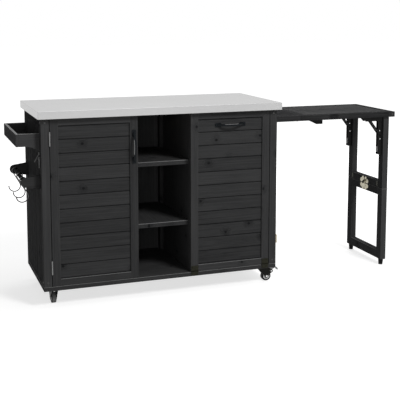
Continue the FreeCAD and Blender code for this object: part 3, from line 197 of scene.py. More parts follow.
# Leg channels and latch
CHANNEL_T = 2.0 * MM
SPRING_W = 9.0 * MM
SPRING_L = 30.0 * MM
SPRING_RISE = 12.0 * MM
SPRING_INSET = 0.6 * MM
SPRING_T = 1.0 * MM
RIVET_RISE = 128.0 * MM
RIVET_FORWARD = 9.0 * MM
SECOND_RIVET_RISE = 84.0 * MM
STRUT_END = 4.0 * MM
LATCH_MIN_W = 40.0 * MM
WING_OUT = 5.0 * MM
GRIP_L = 27.0 * MM
GRIP_W = 8.0 * MM
GRIP_EASE = 3.0 * METAL_EASE
GRIP_TURN = 45.0

# Hooks
WIRE_R = 2.5 * MM
HOOK_TOP_R = 13.5 * MM
HOOK_LOWER_R = 28.0 * MM
HOOK_TOP_START = -20.0
HOOK_END = 185.0
HOOK_SMOOTH_ANGLE = 60.0
BALL_R = 3.4 * MM
BALL_SEGMENTS = 20
BALL_RINGS = 12

# Casters
HUB_R = 17.0 * MM
HUB_SIDES = 48
HUB_W = 20.0 * MM
HUB_RIM = 3.5 * MM
HUB_DISH = 2.5 * MM
HUB_WEB = 4.0 * MM
HUB_BOSS_DROP = 0.5 * MM
TREAD_R = 24.0 * MM
PIN_MAX_Z = 12.0 * MM
CASTER_SCREW_INSET = 8.0 * MM
CASTER_PLATE_T = 2.5 * MM

# Camera and studio
CAMERA_PLACE = (-1.5193, -4.1166, 1.3654)
CAMERA_PITCH_DOWN = 7.14
CAMERA_YAW = -0.345
CAMERA_LENS = 77.62
CAMERA_SENSOR_W = 36.0
CAMERA_SHIFT_Y = -0.2
FLOOR_SIZE = 60.0
FLOOR_TONE = 0.50
FLOOR_FADE_NEAR = 1.2
FLOOR_FADE_FAR = 2.8
FLOOR_GLOW = 0.70
WORLD_LIGHT = 0.20


def on_grid(values):
    """Lengths in whole steps of a fine grid, so that equal places compare as equal."""
    return tuple(round(value * GRID) for value in values)


def extent(points):
    low = Vector([min(p[axis] for p in points) for axis in range(3)])
    high = Vector([max(p[axis] for p in points) for axis in range(3)])
    return low, high


def solids(node):
    """Each closed solid of a CAD node as (low corner, high corner, its faces), sorted by place."""
    mesh = frame["nodes"][node].data
    grid = [on_grid(vertex.co) for vertex in mesh.vertices]
    found = []
    faces = []
    open_edges = set()
    for face in mesh.polygons:
        faces.append(face.index)
        ring = [grid[corner] for corner in face.vertices]
        for start, end in zip(ring, ring[1:] + ring[:1]):
            if (end, start) in open_edges:
                open_edges.remove((end, start))
            else:
                open_edges.add((start, end))
        if not open_edges:
            corners = {corner for index in faces for corner in mesh.polygons[index].vertices}
            low, high = extent([mesh.vertices[corner].co for corner in corners])
            found.append((low, high, faces))
            faces = []
    return sorted(found, key=lambda solid: on_grid((*solid[0], *solid[1])))


# Modelling steps

def deselect():
    bpy.ops.object.select_all(action="DESELECT")


def make_active(piece):
    deselect()
    piece.select_set(True)
    bpy.context.view_layer.objects.active = piece


def set_in_place():
    """Puts the place, turn and scale of the selected pieces into their meshes."""
    bpy.ops.object.transform_apply(location=True, rotation=True, scale=True)


def block(low, high):
    """A box between two corners."""
    deselect()
    bpy.ops.mesh.primitive_cube_add(size=1.0, location=(low + high) / 2.0, scale=high - low)
    set_in_place()
    return bpy.context.object


def rod(start, end, radius, sides):
    """A cylinder between two points."""
    deselect()
    run = end - start
    turn = run.to_track_quat("Z", "Y").to_euler()
    bpy.ops.mesh.primitive_cylinder_add(vertices=sides, radius=radius, depth=run.length,
                                        location=(start + end) / 2.0, rotation=turn)
    set_in_place()
    return bpy.context.object


def edit(piece, kind, chosen):
    """Opens the piece in edit mode with only the chosen faces or edges selected."""
    make_active(piece)
    bpy.ops.object.mode_set(mode="EDIT")
    bpy.ops.mesh.select_mode(type=kind)
    bpy.ops.mesh.select_all(action="DESELECT")
    bpy.ops.object.mode_set(mode="OBJECT")
    mesh = piece.data
    if kind == "FACE":
        for face in mesh.polygons:
            face.select = chosen(face)
    else:
        for edge in mesh.edges:
            edge.select = chosen(*[mesh.vertices[corner].co for corner in edge.vertices])
    bpy.ops.object.mode_set(mode="EDIT")


def close_edit():
    bpy.ops.object.mode_set(mode="OBJECT")


def bevel_edges(piece, chosen, width, segments=2):
    edit(piece, "EDGE", chosen)
    bpy.ops.mesh.bevel(offset=width, segments=segments, affect="EDGES")
    close_edit()


def every(*_):
    return True


def facing(direction):
    def chosen(face):
        return face.normal.dot(direction) > ALONG
    return chosen


def extrude(step):
    bpy.ops.mesh.extrude_region_move(TRANSFORM_OT_translate={"value": step})


def modify(piece, kind, **settings):
    """Adds a modifier with these settings and applies it."""
    make_active(piece)
    modifier = piece.modifiers.new(kind.lower(), kind)
    for key, value in settings.items():
        setattr(modifier, key, value)
    bpy.ops.object.modifier_apply(modifier=modifier.name)


def cut(piece, tool):
    modify(piece, "BOOLEAN", operation="DIFFERENCE", solver="EXACT", object=tool)
    bpy.data.objects.remove(tool)


def soften(piece, angle=SMOOTH_ANGLE):
    make_active(piece)
    bpy.ops.object.shade_smooth_by_angle(angle=math.radians(angle))


def copy_of(piece, move):
    """A second piece with its own mesh, moved and turned from the first."""
    made = piece.copy()
    made.data = piece.data.copy()
    bpy.context.collection.objects.link(made)
    made.data.transform(move)
    return made


def standing(place, outward):
    """The move that stands a model, made on the XY plane, at a place on a surface."""
    turn = outward.to_track_quat("Z", "Y").to_matrix().to_4x4()
    return Matrix.Translation(place) @ turn


def join(pieces):
    deselect()
    for piece in pieces:
        piece.select_set(True)
    bpy.context.view_layer.objects.active = pieces[0]
    if len(pieces) > 1:
        bpy.ops.object.join()
    return pieces[0]


def lifted(node, faces, ease):
    """One solid of a CAD node as a piece of its own, with its sharp edges eased."""
    source = frame["nodes"][node]
    made = source.copy()
    made.data = source.data.copy()
    for key in list(made.keys()):
        del made[key]
    made.parent = None
    bpy.context.collection.objects.link(made)
    made.hide_render = False
    made.hide_viewport = False
    made.hide_set(False)
    wanted = set(faces)
    edit(made, "FACE", lambda face: face.index not in wanted)
    bpy.ops.mesh.delete(type="FACE")
    bpy.ops.mesh.select_all(action="SELECT")
    bpy.ops.mesh.remove_doubles(threshold=MERGE_GAP)
    bpy.ops.mesh.dissolve_limited(angle_limit=math.radians(FLAT_ANGLE))
    bpy.ops.mesh.customdata_custom_splitnormals_clear()
    close_edit()
    if ease:
        modify(made, "BEVEL", width=ease, segments=2, limit_method="ANGLE",
               angle_limit=math.radians(SHARP_ANGLE))
    return made


def eased(node, ease=METAL_EASE, chosen=every):
    """The solids of a CAD node, or those of a chosen size, with their sharp edges eased."""
    return smoothed(join([lifted(node, faces, ease)
                          for low, high, faces in solids(node) if chosen(high - low)]))


def smoothed(piece):
    soften(piece)
    modify(piece, "WEIGHTED_NORMAL", keep_sharp=True)
    return piece


def settle(piece, name, node, finish):
    """Names the piece, gives it its finish and seats it on the CAD node that it stands for."""
    piece.name = name
    piece.data.name = name
    piece.data.materials.clear()
    piece.data.materials.append(finish)
    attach(piece, HOME[node])
    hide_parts(node)
    return piece


def paint(piece, finish, chosen):
    """Gives the chosen faces a second finish."""
    edit(piece, "FACE", chosen)
    piece.data.materials.append(finish)
    piece.active_material_index = len(piece.data.materials) - 1
    bpy.ops.object.material_slot_assign()
    close_edit()


# Finishes

class Socket:
    """An output of a node. Arithmetic on it adds Math nodes."""

    def __init__(self, finish, socket):
        self.finish = finish
        self.socket = socket

    def math(self, operation, first, second):
        return self.finish.node("Math", {"operation": operation}, {0: first, 1: second})

    def __add__(self, other):
        return self.math("ADD", self, other)

    def __radd__(self, other):
        return self.math("ADD", other, self)

    def __sub__(self, other):
        return self.math("SUBTRACT", self, other)

    def __rsub__(self, other):
        return self.math("SUBTRACT", other, self)

    def __mul__(self, other):
        return self.math("MULTIPLY", self, other)

    def __rmul__(self, other):
        return self.math("MULTIPLY", other, self)


class Finish:
    """One material, written as expressions on its nodes."""

    def __init__(self, name, **constants):
        self.material = bpy.data.materials.new(name)
        self.material.use_nodes = True
        self.tree = self.material.node_tree
        self.surface = self.tree.nodes["Principled BSDF"]
        for key, value in constants.items():
            self.surface.inputs[key.replace("_", " ")].default_value = value

    def feed(self, socket, value):
        if isinstance(value, Socket):
            self.tree.links.new(value.socket, socket)
        else:
            socket.default_value = value

    def node(self, kind, settings=None, inputs=None, output=0):
        """Any node, with its settings first and then the values or links of its sockets."""
        made = self.tree.nodes.new("ShaderNode" + kind)
        for key, value in (settings or {}).items():
            if key == "stops":
                set_stops(made.color_ramp, value)
            else:
                setattr(made, key, value)
        for key, value in (inputs or {}).items():
            self.feed(made.inputs[key], value)
        return Socket(self, made.outputs[output])

    def place(self):
        return self.node("TexCoord", output="Object")

    def attribute(self, name, output="Vector"):
        return self.node("Attribute", {"attribute_name": name}, output=output)

    def scaled(self, vector, scale):
        return self.node("VectorMath", {"operation": "MULTIPLY"}, {0: vector, 1: scale})

    def shifted(self, vector, other):
        return self.node("VectorMath", {"operation": "ADD"}, {0: vector, 1: other})

    def vector(self, x, y, z):
        return self.node("CombineXYZ", inputs={0: x, 1: y, 2: z})

    def noise(self, vector, scale, detail=3.0, roughness=0.55):
        return self.node("TexNoise", inputs={"Vector": vector, "Scale": scale, "Detail": detail,
                                             "Roughness": roughness})

    def between(self, value, low, high):
        """0 below low and 1 above high, with a smooth step between them."""
        return self.node("MapRange", {"interpolation_type": "SMOOTHSTEP"},
                         {"Value": value, "From Min": low, "From Max": high})

    def mix(self, amount, first, second):
        return self.node("Mix", {"data_type": "RGBA"}, {0: amount, 6: first, 7: second}, output=2)

    def set(self, **inputs):
        for key, value in inputs.items():
            self.feed(self.surface.inputs[key.replace("_", " ")], value)

    def bump(self, height, distance, strength):
        self.set(Normal=self.node("Bump", inputs={"Height": height, "Distance": distance,
                                                  "Strength": strength}))


def set_stops(ramp, stops):
    while len(ramp.elements) < len(stops):
        ramp.elements.new(0.5)
    for element, (position, colour) in zip(ramp.elements, stops):
        element.position = position
        element.color = (*colour, 1.0)


def grey(level):
    return (level, level, level, 1.0)


def black_wood(name, gloss):
    """Black stained softwood: fine grain, small knots, a tone for each board, and worn edges lightened by a
    painted highlight.
    """
    finish = Finish(name, Specular_IOR_Level=gloss)
    grain = finish.attribute("grain")
    tone = finish.attribute("tone", "Fac")
    wear = finish.attribute("wear", "Fac")
    cells = finish.scaled(grain, KNOT_CELLS)
    flat_cells = {"voronoi_dimensions": "2D", "feature": "F1"}
    cell_inputs = {"Vector": cells, "Scale": 1.0, "Randomness": 0.9}
    distance = finish.node("TexVoronoi", flat_cells, cell_inputs, "Distance")
    cell_colour = finish.node("TexVoronoi", flat_cells, cell_inputs, "Color")
    chance = finish.node("SeparateColor", inputs={0: cell_colour})
    holds_knot = finish.between(chance, *KNOT_CHANCE)
    knot = (1.0 - finish.between(distance, *KNOT_R)) * holds_knot
    halo = (1.0 - finish.between(distance, *HALO_R)) * holds_knot
    waver = finish.noise(finish.scaled(grain, WAVER_SCALE), 1.0, detail=2.0)
    bend = (waver - 0.5) * WAVER_BEND + halo * HALO_BEND
    flow = finish.shifted(finish.scaled(grain, FLOW_SCALE), finish.vector(0.0, bend, bend))
    bands = finish.noise(flow, 1.0, detail=2.0, roughness=0.5)
    fibres = finish.noise(finish.scaled(flow, FIBRE_SCALE), 1.0, roughness=0.7)
    blotches = finish.noise(finish.scaled(grain, BLOTCH_SCALE), 1.0)
    streaks = finish.between(bands * 0.5 + fibres * 0.5, *STREAK_RANGE)
    level = (streaks * STREAK_SHARE + blotches * BLOTCH_SHARE + tone * TONE_SHARE
             - knot * KNOT_SHARE - halo * HALO_SHARE)
    stain = finish.node("ValToRGB", {"stops": STAIN_STOPS}, {0: level})
    # worn edges are mixed towards a lighter grey: wear plus a painted highlight, strongest on top
    colour = finish.mix(wear * WEAR_HIGHLIGHT_SHARE, stain, grey(WEAR_HIGHLIGHT_TONE))
    roughness = WOOD_ROUGHNESS + fibres * FIBRE_ROUGHNESS - wear * WEAR_SHINE
    finish.set(Base_Color=colour, Roughness=roughness)
    finish.bump(streaks - knot * KNOT_SHARE, WOOD_RELIEF, strength=0.6)
    return finish.material


def sheet_metal():
    """Pale satin sheet, brushed along the worktop, with faint mottling."""
    finish = Finish("satin_sheet_metal", Metallic=1.0)
    place = finish.place()
    brushing = finish.noise(finish.scaled(place, BRUSHING_SCALE), 1.0, roughness=0.7)
    mottle = finish.noise(place, MOTTLE_SCALE, detail=2.0)
    clouds = finish.noise(place, CLOUD_SCALE)
    level = brushing * 0.45 + mottle * 0.2 + clouds * 0.35
    finish.set(Base_Color=finish.mix(level, grey(0.40), grey(0.56)), Roughness=0.30 + level * 0.16)
    finish.bump(brushing, METAL_RELIEF, strength=0.4)
    return finish.material


def coated(name, dark, light, rough, gloss):
    """Coated metal with a slight orange peel."""
    finish = Finish(name, Specular_IOR_Level=gloss)
    place = finish.place()
    peel = finish.noise(place, PEEL_SCALE, detail=2.0)
    patches = finish.noise(place, COAT_PATCH_SCALE)
    finish.set(Base_Color=finish.mix(patches, dark, light), Roughness=rough + patches * 0.14)
    finish.bump(peel, PEEL_RELIEF, strength=0.5)
    return finish.material


def plated(name, dark, light, rough):
    """Plated metal with fine scratches and a worn, uneven tint."""
    finish = Finish(name, Metallic=1.0)
    place = finish.place()
    scratches = finish.noise(finish.scaled(place, SCRATCH_SCALE), 1.0, roughness=0.7)
    patches = finish.noise(place, PLATE_PATCH_SCALE)
    finish.set(Base_Color=finish.mix(patches, dark, light), Roughness=rough + scratches * 0.18)
    finish.bump(scratches, METAL_RELIEF, strength=0.4)
    return finish.material


def moulded(name, dark, light, rough, gloss=0.5, scale=700.0):
    """Plastic or rubber with a fine moulded texture."""
    finish = Finish(name, Specular_IOR_Level=gloss)
    place = finish.place()
    texture = finish.noise(place, scale, detail=2.0)
    patches = finish.noise(place, MOULD_PATCH_SCALE)
    finish.set(Base_Color=finish.mix(patches, dark, light), Roughness=rough + texture * 0.12)
    finish.bump(texture, MOULD_RELIEF, strength=0.4)
    return finish.material


def raw_board():
    """Pressed chip board under the worktop's skin."""
    finish = Finish("raw_chip_board")
    place = finish.place()
    chips = finish.node("TexVoronoi", {"feature": "F1"},
                        {"Vector": place, "Scale": CHIP_SCALE, "Randomness": 1.0}, "Color")
    chip = finish.node("SeparateColor", inputs={0: chips})
    finish.set(Base_Color=finish.mix(chip, (0.30, 0.22, 0.14, 1.0), (0.52, 0.40, 0.27, 1.0)),
               Roughness=0.75 + chip * 0.15)
    finish.bump(chip, CHIP_RELIEF, strength=0.5)
    return finish.material


WOOD = black_wood("black_stained_pine", gloss=0.005)
LACQUERED = black_wood("black_lacquered_pine", gloss=0.05)
SHEET = sheet_metal()
IRON = coated("black_coated_iron", (0.003, 0.004, 0.005, 1.0), (0.006, 0.008, 0.010, 1.0),
              rough=0.26, gloss=0.10)
PAINTED_HIGHLIGHT_IRON = plated("painted_highlight_iron", grey(0.16), grey(0.34), rough=0.30)
CAST_IRON = coated("black_cast_iron", grey(0.012), grey(0.028), rough=0.5, gloss=0.12)
BRACKET_BLACK = coated("black_bracket_paint", grey(0.004), grey(0.009), rough=0.34, gloss=0.09)
DARK_SCREW = plated("dull_dark_steel", grey(0.045), grey(0.11), rough=0.42)
HINGE_STEEL = plated("dull_hinge_steel", grey(0.13), grey(0.25), rough=0.40)
OLIVE_PLATE = plated("olive_chromate", (0.012, 0.012, 0.008, 1.0), (0.032, 0.032, 0.024, 1.0),
                     rough=0.36)
ZINC = plated("bright_zinc", grey(0.34), grey(0.54), rough=0.32)
RIVET_STEEL = plated("rivet_steel", grey(0.46), grey(0.66), rough=0.26)
BOLT_STEEL = plated("caster_bolt_steel", grey(0.74), grey(0.90), rough=0.50)
PEDAL_STEEL = plated("dull_pedal_steel", grey(0.10), grey(0.24), rough=0.38)
PALE_PLATE = plated("pale_yellow_zinc", (0.34, 0.32, 0.24, 1.0), (0.56, 0.53, 0.43, 1.0),
                    rough=0.36)
WIRE = plated("polished_wire", grey(0.03), grey(0.14), rough=0.14)
FORK_BLACK = coated("fork_black", (0.005, 0.005, 0.004, 1.0), (0.012, 0.012, 0.010, 1.0),
                    rough=0.36, gloss=0.10)
TYRE = moulded("black_tyre", grey(0.006), grey(0.012), rough=0.6, gloss=0.12, scale=500.0)
TREAD = moulded("grey_tread", grey(0.10), grey(0.20), rough=0.6, gloss=0.2, scale=500.0)
HUB = moulded("pale_hub", grey(0.76), grey(0.86), rough=0.42)
GUIDE = moulded("pale_guide", grey(0.74), grey(0.86), rough=0.5)
RUBBER = moulded("foot_rubber", grey(0.006), grey(0.012), rough=0.7, gloss=0.15)
BEIGE = moulded("beige_plastic", (0.46, 0.40, 0.29, 1.0), (0.60, 0.53, 0.40, 1.0), rough=0.45)
CATCH = moulded("catch_plastic", grey(0.014), grey(0.024), rough=0.5, gloss=0.2)
# near black that paints shade: under the table and on the latch's grip
PAINTED_SHADE_BLACK = moulded("painted_shade_black", grey(0.003), grey(0.007), rough=0.6, gloss=0.05)
CORE = raw_board()


# Timber

random.seed(GRAIN_SEED)


def wear_and_highlight_on(mesh, face, max_w):
    """Wear and painted highlight of a face: the narrow faces that round a board's edges, and most those on top, as
    if lit from above.
    """
    corners = [mesh.vertices[corner].co for corner in face.vertices]
    longest = max((end - start).length for start, end in zip(corners, corners[1:] + corners[:1]))
    upward = face.normal.z > UPWARD
    flat = max(abs(value) for value in face.normal) > ALONG
    if face.area > max_w * longest or (flat and not upward):
        return 0.0
    return 1.0 if upward else SIDE_WEAR_HIGHLIGHT


def mark_grain(piece, low, high, lift, wear_highlight_w):
    """Writes the board's own coordinates, along the grain first, its tone, and its worn edges with their painted
    highlight.
    """
    size = high - low
    order = sorted(range(3), key=lambda axis: -size[axis])
    shift = [random.uniform(0.0, GRAIN_SHIFT) for _ in range(3)]
    tone = lift + random.random() * TONE_SPREAD
    mesh = piece.data
    values = []
    for vertex in mesh.vertices:
        values += [vertex.co[axis] + shift[place] for place, axis in enumerate(order)]
    for name in ("grain", "tone", "wear"):
        if name in mesh.attributes:
            mesh.attributes.remove(mesh.attributes[name])
    tones = [tone] * len(mesh.vertices)
    wear = [wear_and_highlight_on(mesh, face, wear_highlight_w) for face in mesh.polygons]
    mesh.attributes.new("grain", "FLOAT_VECTOR", "POINT").data.foreach_set("vector", values)
    mesh.attributes.new("tone", "FLOAT", "POINT").data.foreach_set("value", tones)
    mesh.attributes.new("wear", "FLOAT", "FACE").data.foreach_set("value", wear)


def plain_board(low, high, out):
    """A planed board with all its edges eased."""
    piece = block(low, high)
    bevel_edges(piece, every, EASE)
    return piece


def spread(size, out, width):
    """The scale by which a board's show face grows by width across the grain."""
    along = max(range(3), key=lambda axis: size[axis])
    scale = Vector((1.0, 1.0, 1.0))
    for axis in range(3):
        if axis != along and not out[axis]:
            scale[axis] = (size[axis] + width) / size[axis]
    return scale


def matched_board(low, high, out):
    """A board that meets its neighbours in a chamfered groove with a dark crack at its foot."""
    size = high - low
    centre = (low + high) / 2.0
    back = out * CRACK_DEPTH
    rear_low = Vector([low[axis] - min(back[axis], 0.0) for axis in range(3)])
    rear_high = Vector([high[axis] - max(back[axis], 0.0) for axis in range(3)])
    piece = block(rear_low, rear_high)
    edit(piece, "FACE", facing(out))
    extrude((0.0, 0.0, 0.0))
    bpy.ops.transform.resize(value=spread(size, out, -CRACK), center_override=centre)
    extrude(out * (CRACK_DEPTH - CHAMFER))
    extrude(out * CHAMFER)
    bpy.ops.transform.resize(value=spread(size, out, -2.0 * CHAMFER), center_override=centre)
    close_edit()
    return piece


def table_slat(low, high, out):
    """A slat with a gap at both sides and its two long upper edges chamfered."""
    piece = block(low, high)

    def upper_long(start, end):
        return min(start.z, end.z) > high.z - EASE and abs(end.x - start.x) > abs(end.y - start.y)

    bevel_edges(piece, upper_long, SLAT_CHAMFER, segments=1)
    bevel_edges(piece, lambda start, end: max(start.z, end.z) > high.z - EASE, SLAT_EASE,
                segments=1)
    return piece


def is_plain_box(node, faces):
    mesh = frame["nodes"][node].data
    corners = {on_grid(mesh.vertices[corner].co)
               for index in faces for corner in mesh.polygons[index].vertices}
    return len(corners) == BOX_CORNERS


def timber(node, lift=0.0, maker=plain_board, out=lambda centre: FRONT, finish=WOOD, wear_highlight_w=0.0):
    """Every board of a CAD node, with its tone lifted. Boards of one size are modelled once."""
    models = {}
    boards = []
    for low, high, faces in solids(node):
        show = out((low + high) / 2.0)
        key = (on_grid(high - low), tuple(show))
        if maker is plain_board and not is_plain_box(node, faces):
            board = lifted(node, faces, EASE)
        elif key in models:
            model, start = models[key]
            board = copy_of(model, Matrix.Translation(low - start))
        else:
            board = maker(low, high, show)
            models[key] = (board, low)
        mark_grain(board, low, high, lift, wear_highlight_w)
        boards.append(board)
    return settle(join(boards), node + "_wood", node, finish)


def outward_in_x(centre):
    return X if centre.x > CABINET_CENTRE.x else -X


CABINET_LOW, CABINET_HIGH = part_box("corner_posts")
CABINET_CENTRE = (CABINET_LOW + CABINET_HIGH) / 2.0

timber("corner_posts", lift=0.4)
timber("cabinet_rails", lift=-0.5)
timber("side_boards", lift=-0.15, maker=matched_board, out=outward_in_x)
timber("back_boards", lift=0.3, maker=matched_board, out=lambda centre: Y)
timber("floor_board", wear_highlight_w=WEAR_HIGHLIGHT_FACE_MAX_W)
timber("dividers", lift=0.3)
timber("shelves", lift=-0.05, wear_highlight_w=WEAR_HIGHLIGHT_FACE_MAX_W)
timber("spice_tray", lift=0.8, wear_highlight_w=RIM_WEAR_HIGHLIGHT_MAX_W)
timber("towel_brackets", lift=0.1)
timber("towel_rod")
timber("left_door_frame", lift=0.05, finish=LACQUERED, wear_highlight_w=WEAR_HIGHLIGHT_FACE_MAX_W)
timber("left_door_slats", maker=matched_board)
timber("bin_door_frame", lift=0.05, finish=LACQUERED, wear_highlight_w=WEAR_HIGHLIGHT_FACE_MAX_W)
timber("bin_door_slats", maker=matched_board)
timber("bin_rack")
timber("leaf_ledge", lift=-0.5)
table_frame = timber("leaf_frame", lift=-0.5)
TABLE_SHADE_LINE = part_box("leaf_ledge")[1].z - TABLE_EDGE_H
# the frame's faces below the table's edge board get painted shade, near black
paint(table_frame, PAINTED_SHADE_BLACK, lambda face: face.center.z < TABLE_SHADE_LINE)
timber("leaf_slats", lift=-0.2, maker=table_slat, out=lambda centre: Z, finish=LACQUERED)
timber("upper_leg_frame", lift=0.5, wear_highlight_w=WEAR_HIGHLIGHT_FACE_MAX_W)
timber("lower_leg_frame", lift=0.5, wear_highlight_w=WEAR_HIGHLIGHT_FACE_MAX_W)


# Worktop

def worktop_skin():
    """Folded sheet with rounded corners and a hem turned in below."""
    low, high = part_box("countertop_skin")
    piece = block(low, high)
    bevel_edges(piece, lambda start, end: abs(start.z - end.z) > SKIN_T, SKIN_CORNER_R,
                segments=4)
    bevel_edges(piece, lambda start, end: min(start.z, end.z) > high.z - SKIN_T, SKIN_EDGE_R,
                segments=4)
    edit(piece, "FACE", facing(-Z))
    bpy.ops.mesh.inset(thickness=SKIN_HEM)
    extrude((0.0, 0.0, SKIN_T))
    close_edit()
    settle(smoothed(piece), "worktop_skin", "countertop_skin", SHEET)


def worktop_core():
    """Board that shows inside the hem, from below."""
    low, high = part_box("countertop_core")
    inset = Vector((SKIN_HEM, SKIN_HEM, 0.0))
    piece = block(low + inset, Vector((high.x, high.y, low.z + SKIN_T - CORE_GAP)) - inset)
    bevel_edges(piece, every, CORE_GAP, segments=1)
    settle(piece, "worktop_core", "countertop_core", CORE)


worktop_skin()
worktop_core()


# Fasteners

def dome(radius, height):
    """A domed head that stands on the XY plane."""
    piece = rod(Vector((0.0, 0.0, 0.0)), Z * height, radius, HEAD_SIDES)

    def top_rim(start, end):
        reach = min(start.xy.length, end.xy.length)
        return min(start.z, end.z) > height * RIM_SHARE and reach > radius * RIM_SHARE

    bevel_edges(piece, top_rim, height * DOME_SHARE, segments=3)
    return piece


def screw_head(radius, height):
    """A domed head with a crossed slot."""
    piece = dome(radius, height)
    half = radius * SLOT_W / 2.0
    arm = radius * SLOT_REACH
    for reach in ((arm, half), (half, arm)):
        corner = Vector((*reach, height))
        slot_low = Vector((-corner.x, -corner.y, height * (1.0 - SLOT_DEPTH)))
        cut(piece, block(slot_low, corner + Z * height))
    return smoothed(piece)


SCREW = screw_head(SCREW_R, SCREW_H)
SMALL_SCREW = screw_head(SMALL_SCREW_R, SMALL_SCREW_H)
RIVET = smoothed(dome(RIVET_R, RIVET_H))
LOW_RIVET = smoothed(dome(LOW_RIVET_R, LOW_RIVET_H))


def heads(model, spots):
    """Copies of a head at (place, outward) pairs, joined in one piece."""
    return join([copy_of(model, standing(place, outward)) for place, outward in spots])


def plate_spots(node, out, far, inset, count, pitch, chosen=every):
    """Spots in a row near the far edge of each of a node's hinge plates."""
    spots = []
    row = out.cross(far)
    for low, high, _ in solids(node):
        if not chosen(high - low):
            continue
        spot = (low + high) / 2.0
        for direction, step in ((-out, HINGE_T), (far, inset)):
            axis = max(range(3), key=lambda place: abs(direction[place]))
            edge = high if direction[axis] > 0.0 else low
            spot[axis] = edge[axis] - direction[axis] * step
        for index in range(count):
            spots.append((spot + row * pitch * (index - (count - 1) / 2.0), out))
    return spots


def frame_screws():
    """Heads at the tops and feet of the corner posts."""
    spots = []
    for low, high, _ in solids("frame_screws"):
        size = high - low
        centre = (low + high) / 2.0
        axis = min(range(3), key=lambda place: size[place])
        outward = Vector((0.0, 0.0, 0.0))
        outward[axis] = 1.0 if centre[axis] > CABINET_CENTRE[axis] else -1.0
        spots.append((centre - outward * size[axis] / 2.0, outward))
    settle(heads(SCREW, spots), "frame_screw_heads", "frame_screws", DARK_SCREW)


def table_screws():
    """Heads in the two ends of the table's end board."""
    low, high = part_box("leaf_frame")
    x = high.x - TABLE_SCREW_INSET
    z = high.z - TABLE_SCREW_DROP
    spots = [(Vector((x, low.y, z)), FRONT), (Vector((x, high.y, z)), Y)]
    settle(heads(SCREW, spots), "table_screw_heads", "leaf_frame", DARK_SCREW)


frame_screws()
table_screws()


# Fittings of the cabinet and doors

def dress(node, name, finish, ease=METAL_EASE, chosen=every):
    """The CAD node's own solids in their real finish, with their edges eased."""
    return settle(eased(node, ease, chosen), name, node, finish)


def bow():
    """A flat bar bent to an arc over the XY plane and cut off level inside its feet."""
    deselect()
    half_span = HANDLE_SPAN / 2.0 - BOW_T / 2.0
    rise = HANDLE_REACH - BOW_T / 2.0
    radius = (half_span ** 2 + rise ** 2) / (2.0 * rise)
    centre = Vector((0.0, 0.0, rise - radius))
    half_turn = math.asin(half_span / radius) + BOW_SPARE
    start = centre + radius * Vector((-math.sin(half_turn), 0.0, math.cos(half_turn)))
    bpy.ops.mesh.primitive_plane_add(size=1.0, location=start,
                                     rotation=(0.0, math.pi / 2.0 - half_turn, 0.0))
    piece = bpy.context.object
    piece.scale = (BOW_T, BOW_W, 1.0)
    set_in_place()
    edit(piece, "FACE", every)
    bpy.ops.mesh.bevel(offset=BOW_CORNER, segments=3, affect="VERTICES")
    bpy.ops.mesh.spin(steps=BOW_STEPS, angle=-2.0 * half_turn, center=centre, axis=Y)
    bpy.ops.mesh.select_all(action="SELECT")
    bpy.ops.mesh.bisect(plane_co=Z * BOW_SUNK, plane_no=Z, use_fill=True, clear_inner=True)
    bpy.ops.mesh.select_all(action="SELECT")
    bpy.ops.mesh.normals_make_consistent(inside=False)
    close_edit()
    return piece


def foot_plate(centre_x):
    """A flat foot with rounded corners and a softened rim."""
    half = Vector((HANDLE_PLATE_L, HANDLE_PLATE_W, 0.0)) / 2.0
    centre = Vector((centre_x, 0.0, 0.0))
    piece = block(centre - half, centre + half + Z * HANDLE_PLATE_T)
    bevel_edges(piece, lambda start, end: abs(start.z - end.z) > HANDLE_PLATE_T / 2.0,
                HANDLE_PLATE_CORNER, segments=5)
    bevel_edges(piece, lambda start, end: min(start.z, end.z) > HANDLE_PLATE_T * RIM_SHARE,
                METAL_EASE)
    return piece


def handle_model():
    """Bow handle that lies along X and stands out along Z."""
    foot_x = (HANDLE_L - HANDLE_PLATE_L) / 2.0
    screw_x = HANDLE_L / 2.0 - HANDLE_SCREW_INSET
    spots = [(Vector((x, 0.0, HANDLE_PLATE_T)), Z) for x in (-screw_x, screw_x)]
    iron = smoothed(join([bow(), foot_plate(-foot_x), foot_plate(foot_x)]))
    return join([iron, heads(SMALL_SCREW, spots)])


def fit_handle(node, along):
    """A copy of the handle, turned along a direction, with a painted highlight on its upper front edge."""
    low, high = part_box(node)
    foot = Vector(((low.x + high.x) / 2.0, high.y, (low.z + high.z) / 2.0))
    upper = FRONT.cross(along)
    turn = Matrix((along, upper, FRONT)).transposed().to_4x4()
    piece = copy_of(HANDLE, Matrix.Translation(foot) @ turn)
    settle(piece, node + "_iron", node, IRON)
    bow_front = low.y + BOW_T

    def under_painted_highlight(face):
        tilt = min(face.normal.dot(FRONT), face.normal.dot(upper))
        reach = abs((face.center - foot).dot(along))
        return (tilt > BOW_HIGHLIGHT_TILT and face.center.y < bow_front
                and reach < BOW_HIGHLIGHT_HALF)

    # lighter metal along the bow's upper front edge, as a painted highlight
    paint(piece, PAINTED_HIGHLIGHT_IRON, under_painted_highlight)


def is_side_hinge(size):
    return size.z > DOOR_HINGE_MIN_L


def is_bin_hinge(size):
    return not is_side_hinge(size)


